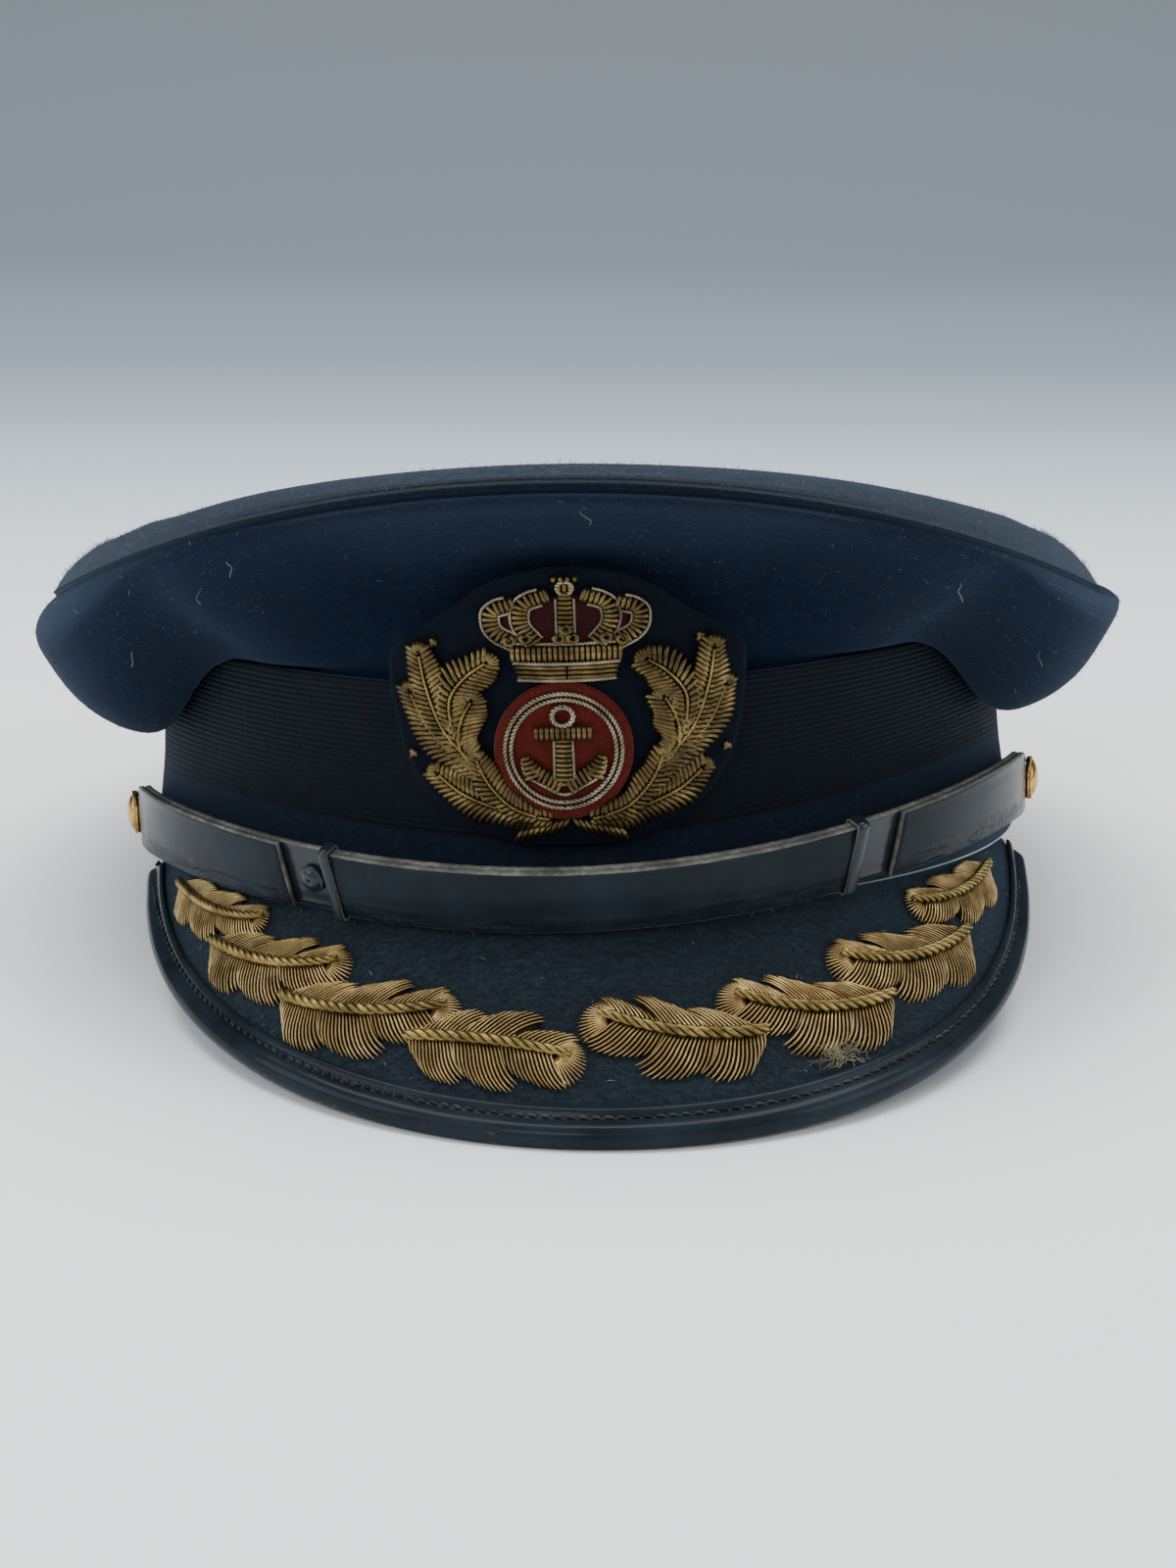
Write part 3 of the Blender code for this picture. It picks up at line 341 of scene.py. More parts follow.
class Look:
    """One node material, built step by step."""

    def __init__(self, name):
        self.material = bpy.data.materials.new(name)
        self.material.use_nodes = True
        self.tree = self.material.node_tree
        self.shader = self.tree.nodes["Principled BSDF"]
        self.coordinates = self.tree.nodes.new("ShaderNodeTexCoord").outputs["Object"]

    def put(self, socket, value):
        if hasattr(value, "is_output"):
            self.tree.links.new(value, self.shader.inputs[socket])
        else:
            self.shader.inputs[socket].default_value = value
        return self

    def node(self, kind, inputs, **settings):
        made = self.tree.nodes.new(kind)
        for key, value in settings.items():
            setattr(made, key, value)
        for key, value in inputs.items():
            if hasattr(value, "is_output"):
                self.tree.links.new(value, made.inputs[key])
            else:
                made.inputs[key].default_value = value
        return made

    def noise(self, scale, detail=3.0, rough=0.55, stretch=None, coordinates=None):
        where = coordinates or self.coordinates
        if stretch:
            where = self.node("ShaderNodeMapping", {"Vector": where, "Scale": stretch}).outputs[0]
        return self.node("ShaderNodeTexNoise", {"Vector": where, "Scale": scale, "Detail": detail,
                                                "Roughness": rough}).outputs["Fac"]

    def range(self, value, low, high, start=0.0, end=1.0):
        return self.node("ShaderNodeMapRange", {"Value": value, "From Min": low, "From Max": high,
                                                "To Min": start, "To Max": end}).outputs[0]

    def math(self, operation, one, two=0.0):
        return self.node("ShaderNodeMath", {0: one, 1: two}, operation=operation).outputs[0]

    def blend(self, share, one, two):
        made = self.tree.nodes.new("ShaderNodeMix")
        made.data_type = "RGBA"
        for index, value in ((0, share), (6, one), (7, two)):
            if hasattr(value, "is_output"):
                self.tree.links.new(value, made.inputs[index])
            elif index:
                made.inputs[index].default_value = (*value, 1)
            else:
                made.inputs[index].default_value = value
        return made.outputs[2]

    def bump(self, height, depth, strength=1.0, before=None):
        inputs = {"Height": height, "Distance": depth, "Strength": strength}
        if before is not None:
            inputs["Normal"] = before
        return self.node("ShaderNodeBump", inputs).outputs[0]

    def uv(self):
        return self.tree.nodes.new("ShaderNodeUVMap").outputs[0]

    def attribute(self, name):
        return self.node("ShaderNodeAttribute", {}, attribute_name=name).outputs["Fac"]


def wool_look(name, dark, pale, sheen, nap):
    look = Look(name)
    fine = look.noise(1500, 4.0, 0.7)
    hairs = look.noise(420, 3.0, 0.6, stretch=(1.0, 3.2, 2.2))
    broad = look.noise(26, 3.0, 0.6)
    shade = look.math("ADD", look.range(fine, 0.35, 0.7, 0.0, 0.55), look.range(hairs, 0.45, 0.75, 0.0, 0.45))
    colour = look.blend(shade, dark, pale)
    colour = look.blend(look.range(broad, 0.35, 0.75, 0.0, 0.35), colour, dark)
    first = look.bump(look.noise(160, 3.0, 0.6), nap, 0.5)
    look.put("Base Color", colour).put("Roughness", 0.96)
    look.put("Normal", look.bump(fine, nap, 0.8, first))
    look.put("Sheen Weight", sheen).put("Sheen Roughness", 0.45).put("Sheen Tint", (0.42, 0.62, 0.92, 1))
    look.put("Specular IOR Level", 0.15)
    return look.material


def mohair_look():
    look = Look("mohair")
    strands = look.noise(900, 3.0, 0.6, stretch=(1.0, 1.0, 0.35))
    broad = look.noise(60, 3.0, 0.6)
    colour = look.blend(look.range(strands, 0.4, 0.75), (0.0001, 0.0008, 0.0026), (0.0006, 0.0038, 0.0100))
    colour = look.blend(look.range(broad, 0.4, 0.7, 0.0, 0.5), colour, (0.0010, 0.0036, 0.0080))
    look.put("Base Color", colour).put("Roughness", 0.85)
    look.put("Normal", look.bump(strands, 0.25 * MM, 0.7))
    look.put("Sheen Weight", 0.08).put("Sheen Roughness", 0.4).put("Sheen Tint", (0.35, 0.62, 0.9, 1))
    look.put("Specular IOR Level", 0.2)
    return look.material


def patent_look(name, pleats_at, brown, ior):
    look = Look(name)
    cloudy = look.noise(45, 4.0, 0.6)
    fine = look.noise(700, 3.0, 0.6)
    scuffs = look.noise(300, 5.0, 0.7, stretch=(0.6, 1.0, 1.6))
    wear = look.math("MULTIPLY", look.attribute("wear"), look.range(scuffs, 0.58, 0.64))
    colour = look.blend(look.range(cloudy, 0.3, 0.8), (0.0070, 0.0105, 0.0140), (0.018, 0.026, 0.034))
    colour = look.blend(wear, colour, (0.16, 0.080, 0.042) if brown else (0.09, 0.09, 0.08))
    rough = look.math("ADD", look.range(cloudy, 0.3, 0.8, 0.20, 0.36), look.math("MULTIPLY", wear, 0.4))
    first = None
    if pleats_at:
        parts = look.node("ShaderNodeSeparateXYZ", {"Vector": look.uv()}).outputs
        pleats = look.noise(1.0, 1.0, 0.5, stretch=(2.4, 0.04, 1.0), coordinates=look.uv())
        where = look.noise(1.0, 2.0, 0.5, stretch=(0.06, 0.25, 1.0), coordinates=look.uv())
        away = look.math("ABSOLUTE", look.math("SUBTRACT", parts[1], pleats_at))
        low = look.range(away, 1.0, 3.2, 1.0, 0.0)
        height = look.math("MULTIPLY", look.math("MULTIPLY", pleats, low), look.range(where, 0.42, 0.58))
        first = look.bump(height, 0.9 * MM, 1.0)
    look.put("Base Color", colour).put("Roughness", rough)
    look.put("Normal", look.bump(fine, 0.05 * MM, 0.5, first))
    look.put("Coat Weight", 0.06).put("Coat Roughness", 0.12).put("Specular IOR Level", 0.32).put("IOR", ior)
    return look.material


def edge_look():
    look = Look("leather_edge")
    grain = look.noise(900, 4.0, 0.7)
    patches = look.noise(120, 3.0, 0.6)
    colour = look.blend(look.range(grain, 0.3, 0.7), (0.055, 0.055, 0.042), (0.20, 0.20, 0.155))
    colour = look.blend(look.range(patches, 0.42, 0.62, 0.0, 0.75), colour, (0.03, 0.031, 0.028))
    look.put("Base Color", colour).put("Roughness", 0.8).put("Normal", look.bump(grain, 0.2 * MM, 0.8))
    return look.material


def metal_thread_look(name, dark, mid, pale, metallic):
    """Metal thread, tarnished in patches, with painted glints: pale spots in its colour stand in for
    highlights.
    """
    look = Look(name)
    tarnish = look.noise(170, 3.0, 0.6)
    painted_glints = look.noise(260, 2.0, 0.5)
    colour = look.blend(look.range(tarnish, 0.28, 0.66), dark, mid)
    # painted highlight: pale glint spots blended over the tarnished colour
    colour = look.blend(look.range(painted_glints, 0.45, 0.8, 0.0, 0.55), colour, pale)
    look.put("Base Color", colour).put("Metallic", metallic)
    look.put("Roughness", look.range(painted_glints, 0.3, 0.8, 0.40, 0.26))
    return look.material


def velvet_look(name, dark, pale):
    look = Look(name)
    pile = look.noise(1300, 4.0, 0.7)
    brushed = look.noise(150, 4.0, 0.6, stretch=(1.0, 1.0, 2.2))
    shade = look.math("MULTIPLY", look.range(pile, 0.3, 0.75), look.range(brushed, 0.3, 0.7, 0.4, 1.0))
    colour = look.blend(shade, dark, pale)
    look.put("Base Color", colour).put("Roughness", 0.9).put("Normal", look.bump(pile, 0.12 * MM, 0.8))
    look.put("Sheen Weight", 0.35).put("Sheen Roughness", 0.35).put("Sheen Tint", (0.95, 0.35, 0.28, 1))
    look.put("Specular IOR Level", 0.1)
    return look.material


def gilt_look():
    look = Look("gilt")
    cloudy = look.noise(400, 4.0, 0.6)
    scratches = look.noise(1200, 3.0, 0.6, stretch=(1.0, 0.2, 3.0))
    look.put("Base Color", look.blend(look.range(cloudy, 0.4, 0.7), (0.36, 0.19, 0.045), (0.80, 0.52, 0.17)))
    look.put("Metallic", 1.0).put("Roughness", look.range(cloudy, 0.3, 0.7, 0.18, 0.42))
    look.put("Normal", look.bump(scratches, 0.03 * MM, 0.4))
    return look.material


def hair_look(name, dark, pale):
    look = Look(name)
    look.put("Base Color", look.blend(look.range(look.noise(150, 2.0), 0.35, 0.65), dark, pale))
    look.put("Roughness", 0.8).put("Specular IOR Level", 0.2)
    return look.material


def floor_look():
    look = Look("floor")
    behind = look.node("ShaderNodeSeparateXYZ", {"Vector": look.coordinates}).outputs[1]
    colour = look.blend(look.range(look.noise(9, 4.0), 0.3, 0.7), (0.885, 0.895, 0.90), (0.905, 0.91, 0.91))
    # painted shade: the floor and its sweep darken further behind the cap
    for start, end, shade in PAINTED_FLOOR_SHADE:
        colour = look.blend(look.range(behind, start, end), colour, shade)
    look.put("Base Color", colour).put("Roughness", 0.6).put("Specular IOR Level", 0.2)
    return look.material


# Dark and pale colour, sheen and depth of the nap
WOOLS = {
    "wool_side": ((0.0003, 0.0026, 0.0082), (0.0020, 0.0120, 0.0360), 0.09, 0.18 * MM),
    # painted light: the top panel's copy of the crown's wool is paler and greyer, as the overhead light makes
    # it look
    "wool_top_painted_light": ((0.0034, 0.0048, 0.0072), (0.016, 0.019, 0.024), 0.13, 0.35 * MM),
    # painted light: the peak's copy of the crown's wool is paler, as the light on its upturned face makes it
    # look
    "wool_peak_painted_light": ((0.0026, 0.0054, 0.0085), (0.023, 0.035, 0.043), 0.16, 0.22 * MM),
    # painted shade: the badge's backing cloth is darkened to sink into the shaded cloth round it
    "wool_badge_painted_shade": ((0.0004, 0.0016, 0.0042), (0.0016, 0.0055, 0.0120), 0.04, 0.15 * MM),
    "tape": ((0.002, 0.004, 0.010), (0.010, 0.016, 0.030), 0.2, 0.08 * MM),
    "padding": ((0.006, 0.0035, 0.002), (0.030, 0.018, 0.008), 0.0, 0.1 * MM),
}
# Where pleats run, in millimetres round the section (0 for none), whether worn spots are brown, and the IOR
PATENTS = {"patent": (0.0, False, 1.45), "patent_pleated": (26.0, False, 1.13), "binding": (0.0, True, 1.18)}
# Dark and middle colour of the tarnish, pale colour of the painted glints, and metallic
METALS = {
    "leaf": ((0.16, 0.100, 0.036), (0.34, 0.225, 0.086), (0.80, 0.59, 0.27), 0.9),
    "cord": ((0.09, 0.062, 0.018), (0.27, 0.190, 0.060), (0.60, 0.46, 0.17), 0.85),
    "bullion": ((0.034, 0.022, 0.008), (0.115, 0.077, 0.027), (0.36, 0.26, 0.10), 0.85),
    "silver_cord": ((0.10, 0.080, 0.048), (0.28, 0.235, 0.155), (0.62, 0.55, 0.42), 0.8),
}
# Dark and pale colour
VELVETS = {
    "velvet": ((0.040, 0.0050, 0.0035), (0.115, 0.014, 0.009)),
    # painted shade: a darker copy of the velvet for the recessed windows between the crown's arches
    "velvet_painted_shade": ((0.014, 0.0030, 0.0035), (0.040, 0.007, 0.007)),
}
HAIRS = {
    "stitch": ((0.008, 0.009, 0.011), (0.045, 0.05, 0.055)),
    # painted sheen: the crown's own wool fibres are paler than the cloth, as light catching the nap makes them
    # look
    "fuzz": ((0.020, 0.026, 0.038), (0.13, 0.15, 0.18)),
    "pale_fibre": ((0.16, 0.16, 0.15), (0.42, 0.42, 0.40)),
    "frayed": ((0.06, 0.050, 0.028), (0.24, 0.21, 0.13)),
}
LOOKS = {"mohair": mohair_look(), "edge": edge_look(), "gilt": gilt_look()}
for make_look, looks in ((wool_look, WOOLS), (patent_look, PATENTS), (metal_thread_look, METALS),
                         (velvet_look, VELVETS), (hair_look, HAIRS)):
    for look_name, values in looks.items():
        LOOKS[look_name] = make_look(look_name, *values)


# Mesh helpers; every list of points is in the cap's own frame

def piece(name, vertices, faces, look, slot, stands_for=(), uv=None, second=None, wear=None):
    data = bpy.data.meshes.new(name)
    data.from_pydata(to_row(vertices).tolist(), [], faces)
    if uv is not None:
        layer = data.uv_layers.new(name="UVMap")
        layer.data.foreach_set("uv", np.asarray(uv, np.float32).ravel())
    if wear is not None:
        data.attributes.new("wear", "FLOAT", "POINT").data.foreach_set("value", np.asarray(wear, np.float32))
    data.materials.append(LOOKS[look])
    if second is not None:
        other, indices = second
        data.materials.append(LOOKS[other])
        data.polygons.foreach_set("material_index", indices)
    data.shade_smooth()
    data.update()
    made = bpy.data.objects.new(name, data)
    bpy.context.scene.collection.objects.link(made)
    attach(made, "root")
    if stands_for:
        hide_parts(*stands_for)
    return made


def smooth_line(points, count):
    """Evenly spaced points on a smooth curve through the given ones."""
    points = np.asarray(points, float)
    steps = np.maximum(np.linalg.norm(np.diff(points, axis=0), axis=1), 1e-9)
    knots = np.concatenate([[0], np.cumsum(np.sqrt(steps))])
    slopes = np.gradient(points, knots, axis=0)
    dense = []
    for i in range(len(points) - 1):
        span = knots[i + 1] - knots[i]
        t = np.linspace(0, 1, 13)[:-1, None]
        dense.append((2 * t ** 3 - 3 * t ** 2 + 1) * points[i] + (t ** 3 - 2 * t ** 2 + t) * span * slopes[i]
                     + (3 * t ** 2 - 2 * t ** 3) * points[i + 1] + (t ** 3 - t ** 2) * span * slopes[i + 1])
    dense = np.vstack(dense + [points[-1:]])
    length = travelled(dense)
    return at_lengths(dense, length, np.linspace(0, length[-1], count))


def grid_faces(rows, columns, ring, first=0):
    faces = []
    for i in range(rows - 1):
        for j in range(columns if ring else columns - 1):
            k = (j + 1) % columns
            faces.append((first + i * columns + j, first + i * columns + k,
                          first + (i + 1) * columns + k, first + (i + 1) * columns + j))
    return faces


def shell(name, rows, thickness, look, slot, stands_for=(), ring=False, centre=None):
    """Cloth through rows of points, thickened behind its visible face."""
    grid = np.asarray(rows, float)
    vertices = grid.reshape(-1, 3)
    faces = grid_faces(grid.shape[0], grid.shape[1], ring)
    if centre is not None:
        columns, last = grid.shape[1], (grid.shape[0] - 1) * grid.shape[1]
        vertices = np.vstack([vertices, [centre]])
        faces += [(last + j, last + (j + 1) % columns, len(vertices) - 1) for j in range(columns)]
    made = piece(name, vertices, faces, look, slot, stands_for)
    solid = made.modifiers.new("Thickness", "SOLIDIFY")
    solid.thickness = thickness
    solid.offset = -1
    return made


def inside_out(vertices, faces):
    """Whether a closed mesh's faces point inward, so that its signed volume is negative."""
    corners = np.array([(face[0], face[i], face[i + 1]) for face in faces for i in range(1, len(face) - 1)])
    one, two, three = (vertices[corners[:, k]] for k in range(3))
    return np.einsum("ij,ij->", one, np.cross(two, three)) < 0


def loft(name, sections, look, slot, stands_for=(), ring=False, second=None, edge_columns=(), wear=None):
    """Closed solid through closed sections, with lengths in millimetres as its UV map."""
    grid = np.asarray(sections, float)
    count, around = grid.shape[0], grid.shape[1]
    along = travelled(grid.mean(1)) / MM
    girth = np.linalg.norm(np.diff(grid[count // 2], axis=0, append=grid[count // 2][:1]), axis=1)
    across = np.concatenate([[0], np.cumsum(girth)]) / MM
    faces, uv, kinds = [], [], []
    for i in range(count if ring else count - 1):
        k = (i + 1) % count
        for j in range(around):
            m = (j + 1) % around
            faces.append((i * around + j, i * around + m, k * around + m, k * around + j))
            ahead = along[i + 1] if i + 1 < count else along[-1]
            uv += [(along[i], across[j]), (along[i], across[j + 1]),
                   (ahead, across[j + 1]), (ahead, across[j])]
            kinds.append(1 if j in edge_columns else 0)
    if not ring:
        faces.append(tuple(reversed(range(around))))
        faces.append(tuple(range((count - 1) * around, count * around)))
        uv += [(0.0, 0.0)] * (2 * around)
        kinds += [1 if edge_columns else 0] * 2
    vertices = grid.reshape(-1, 3)
    made = piece(name, vertices, faces, look, slot, stands_for, uv, (second, kinds) if second else None, wear)
    if inside_out(vertices - vertices.mean(0), faces):
        made.data.flip_normals()
    return made


def strand_frames(points):
    ahead = np.gradient(points, axis=0)
    ahead /= np.maximum(np.linalg.norm(ahead, axis=1, keepdims=True), 1e-12)
    helper = np.array([0, 0, 1.0]) if abs(ahead[0][2]) < 0.9 else np.array([1.0, 0, 0])
    sides = []
    side = np.cross(ahead[0], helper)
    for direction in ahead:
        side = side - direction * np.dot(side, direction)
        side = side / max(np.linalg.norm(side), 1e-12)
        sides.append(side)
    sides = np.array(sides)
    return ahead, sides, np.cross(ahead, sides)


def strands(name, lines, sides, look, slot, stands_for=()):
    """Many round strands in one piece: each line is (points, radius or radii)."""
    vertices, faces, uv = [], [], []
    turns = np.arange(sides) * TAU / sides
    first = 0
    for points, radius in lines:
        points = np.asarray(points, float)
        count = len(points)
        _, one, two = strand_frames(points)
        radius = np.broadcast_to(np.asarray(radius, float), (count,))
        away = np.cos(turns)[None, :, None] * one[:, None] + np.sin(turns)[None, :, None] * two[:, None]
        rings = points[:, None] + radius[:, None, None] * away
        vertices.append(rings.reshape(-1, 3))
        along = travelled(points) / MM
        for i in range(count - 1):
            for j in range(sides):
                k = (j + 1) % sides
                a = first + i * sides
                faces.append((a + j, a + k, a + sides + k, a + sides + j))
                uv += [(along[i], j / sides), (along[i], (j + 1) / sides),
                       (along[i + 1], (j + 1) / sides), (along[i + 1], j / sides)]
        faces.append(tuple(first + j for j in reversed(range(sides))))
        faces.append(tuple(first + (count - 1) * sides + j for j in range(sides)))
        uv += [(0.0, 0.0)] * sides + [(along[-1], 0.0)] * sides
        first += count * sides
    return piece(name, np.vstack(vertices), faces, look, slot, stands_for, uv)


def twisted(points, radius, pitch, count=2, thin=0.56, taper=None):
    """Strand lines of a cord twisted round a path; each strand is a share of the cord's radius."""
    points = np.asarray(points, float)
    length = np.linalg.norm(np.diff(points, axis=0), axis=1).sum()
    path = smooth_line(points, max(int(length / pitch * 9), 8))
    _, one, two = strand_frames(path)
    along = travelled(path)
    size = radius * (np.ones(len(path)) if taper is None else np.interp(along / along[-1], *taper))
    lines = []
    for k in range(count):
        turn = TAU * (along / pitch + k / count)
        away = (size * (1 - thin))[:, None]
        lines.append((path + away * (np.cos(turn)[:, None] * one + np.sin(turn)[:, None] * two), size * thin))
    return lines


def wobble(point, scale, seed):
    return noise.noise(Vector((point[0] * scale + seed, point[1] * scale, point[2] * scale)))


def ring_angles(count):
    return [TAU * i / count for i in range(count)]


# Crown and band

RING = 288                       # columns round the crown
SIDE_ROWS = 46
CROWN_DENT = 0.9 * MM
TOP_DENT = 0.7 * MM
RIM_INSET = 0.2 * MM             # the top panel's rim, inside the seam


def make_crown_side():
    profiles = []
    for angle in ring_angles(RING):
        line = smooth_line(crown_section(angle), SIDE_ROWS)
        profiles.append([tuple(wall_point(angle, out, height)) for out, height in line])
    rows = np.array(profiles).transpose(1, 0, 2).copy()
    for i in range(10, 44):
        hold = math.sin(math.pi * (i - 9) / 35)
        for j, angle in enumerate(ring_angles(RING)):
            _, normal = head_oval(angle)
            push = CROWN_DENT * hold * (wobble(rows[i][j], 26, 3.1) + 0.45 * wobble(rows[i][j], 70, 9.4))
            rows[i][j] += np.array(normal) * push
    return shell("crown_side_cloth", rows, CLOTH, "wool_side", "wool", ["crown_side"], ring=True)


def rim_lift(angle):
    """How far the top panel's rim stands above the seam."""
    return mix(0.9 * MM, 0.35 * MM, math.sin(angle) ** 2)


def crown_top_point(angle, size):
    """Point of the top panel at a share of the way out from its centre."""
    table = np.array(TOP_ROWS)[::-1]
    climb = np.interp(size, table[:, 0], table[:, 1])
    puff = np.interp(size, table[:, 0], table[:, 2])
    edge, _ = head_oval(angle, seam_out(angle) - RIM_INSET)
    edge = edge + Vector((0, 0, seam_height(angle) + rim_lift(angle)))
    centre = Vector((0, TOP_CENTRE_BACK, TOP_CENTRE_HEIGHT))
    point = centre.lerp(edge, size)
    point.z = mix(edge.z, centre.z, climb) + TOP_PUFF * puff
    inside = (1 - size) * edge.length / MM
    point.z += 0.28 * MM * math.exp(-((inside - 2.6) / 0.9) ** 2)
    inner = 1 - max((size - 0.91) / 0.09, 0) ** 2
    point.z += 1.1 * MM * math.sin(angle) ** 2 * inner * ease(min(size / 0.8, 1))
    return point


def make_crown_top():
    sizes = [1.0, 0.993, 0.985, 0.976, 0.967, 0.958, 0.948, 0.936, 0.92] + list(np.linspace(0.90, 0.03, 30))
    rows = []
    for inward, lift in ((1.2, -0.75), (0.35, -0.55), (-0.25, -0.1)):
        row = []
        for angle in ring_angles(RING):
            rim = seam_out(angle) - RIM_INSET - inward * MM
            row.append(wall_point(angle, rim, seam_height(angle) + rim_lift(angle) + lift * MM))
        rows.append(row)
    for size in sizes:
        row = []
        for angle in ring_angles(RING):
            point = crown_top_point(angle, size)
            soft = TOP_DENT * wobble(point, 18, 5.0) * ease((1 - size) / 0.06)
            row.append((point.x, point.y, point.z + soft))
        rows.append(row)
    centre = (0, TOP_CENTRE_BACK, TOP_CENTRE_HEIGHT)
    # the top panel wears the paler copy of the wool: painted light
    return shell("crown_top_cloth", rows, CLOTH, "wool_top_painted_light", "wool", ["crown_top"], ring=True, centre=centre)


def closed_tube(name, points, radius, sides, look, slot, stands_for=()):
    points = np.asarray(points, float)
    ahead = np.roll(points, -1, 0) - np.roll(points, 1, 0)
    ahead /= np.linalg.norm(ahead, axis=1, keepdims=True)
    up = np.tile([0, 0, 1.0], (len(points), 1))
    side = np.cross(ahead, up)
    side /= np.linalg.norm(side, axis=1, keepdims=True)
    up = np.cross(side, ahead)
    sections = []
    for i, point in enumerate(points):
        size = radius[i] if hasattr(radius, "__len__") else radius
        sections.append([point + size * (math.cos(t) * side[i] + math.sin(t) * up[i])
                         for t in ring_angles(sides)])
    return loft(name, sections, look, slot, stands_for, ring=True)


def make_welt():
    """Cord sunk in the seam's groove."""
    line, sizes = [], []
    for angle in ring_angles(RING * 2):
        point = wall_point(angle, seam_out(angle) - 0.85 * MM, seam_height(angle) + 0.02 * MM)
        line.append(tuple(point))
        sizes.append(0.55 * MM * (1 + 0.15 * wobble(point, 160, 1.0)))
    closed_tube("crown_welt_cloth", line, sizes, 10, "tape", "wool", ["crown_welt"])


BAND_COLUMNS = 360
RIBS, PER_RIB = 24, 6
RIB_DEPTH = 0.36 * MM
TAPE_ABOVE_STRAP = 3.6 * MM      # the braid starts this far above the strap
TAPE_BEHIND = 5.0 * MM           # and this high behind the buttons
TAPE_FADE = math.radians(6)


def tape_top(angle):
    """Where the plain tape ends and the ribbed braid starts."""
    turn = math.atan2(math.sin(angle), math.cos(angle))
    away = ease((abs(turn) - STRAP_END + TAPE_FADE) / (2 * TAPE_FADE))
    held = math.copysign(min(abs(turn), STRAP_END), turn)
    return mix(strap_point(held, STRAP_WIDTH, 0).z + TAPE_ABOVE_STRAP, TAPE_BEHIND, away)


def make_band():
    """Ribbed braid above a plain tape, with a smooth inside."""
    corner = 0.4 * MM
    columns = []
    for angle in ring_angles(BAND_COLUMNS):
        top, start = band_top(angle), tape_top(angle)
        column = [(flare(height), height) for height in (0.0, start * 0.5, start - 0.7 * MM)]
        for k in range(RIBS * PER_RIB + 1):
            height = mix(start, top - 2 * corner, k / (RIBS * PER_RIB))
            swell = abs(math.sin(math.pi * k / PER_RIB)) ** 0.8
            ripple = 0.08 * MM * wobble((math.sin(angle) * 0.09, math.cos(angle) * 0.1, height), 95, 2.0)
            column.append((flare(height) - 0.38 * MM + RIB_DEPTH * swell + ripple, height))
        column += [(flare(top), top - corner), (-0.3 * MM, top), (-BAND_WALL + 0.3 * MM, top),
                   (-BAND_WALL, top - corner), (flare(top * 0.5) - BAND_WALL, top * 0.5),
                   (flare(0) - BAND_WALL, 0.0)]
        columns.append([tuple(wall_point(angle, out, height)) for out, height in column])
    loft("band_braid", columns, "mohair", "mohair", ["band"], ring=True, second="tape", edge_columns=(0, 1))


# Peak and its binding

def visor_steps(count):
    limit = visor_limit()
    return [mix(-limit, limit, i / count) for i in range(count + 1)]


def make_visor():
    rows = []
    for share in np.linspace(1.0, 0.0, 22):
        row = []
        for angle in visor_steps(150):
            reach = (visor_width(angle) - BINDING_ROLL) * share
            point = visor_point(angle, reach)
            soft = 0.12 * MM * wobble(point, 60, 4.0) * math.sin(math.pi * share)
            row.append(tuple(visor_point(angle, reach, soft)))
        rows.append(row)
    # the peak wears the paler copy of the wool: painted light
    return shell("visor_cloth", rows, VISOR_THICK, "wool_peak_painted_light", "wool", ["visor"])


GROOVE = -2.4 * MM               # the stitched groove, from the peak's cloth edge
ROLL_DEGREES = (118, 104, 90, 76, 62, 48, 34, 20, 6, -8, -22, -36, -50, -64, -78, -90)
DENTED = range(6, 17)            # outline points that dents move, and those that wear reaches
WORN = range(12, 17)
WEAR_ANGLE, WEAR_SPREAD = -19, 11
STITCH_PITCH = 2.25 * MM


def binding_outline(flange):
    top, middle, low = 0.95 * MM, -VISOR_THICK / 2, -VISOR_THICK - BINDING_GAP
    roll = [(0.1 * MM + 2.6 * MM * math.cos(t), middle + 2.5 * MM * math.sin(t))
            for t in map(math.radians, ROLL_DEGREES)]
    outline = [(-flange, 0.62 * MM), (-flange + 0.25 * MM, top), (-flange / 2 - 1.4 * MM, top + 0.08 * MM),
               (GROOVE - 0.65 * MM, top), (GROOVE - 0.25 * MM, 0.62 * MM), (GROOVE + 0.25 * MM, 0.58 * MM),
               (GROOVE + 0.65 * MM, 0.80 * MM)] + roll
    return outline + [(-flange, low - BINDING_LEATHER), (-flange, low), (BINDING_GAP, low),
                      (BINDING_GAP, BINDING_GAP), (-flange, BINDING_GAP)]


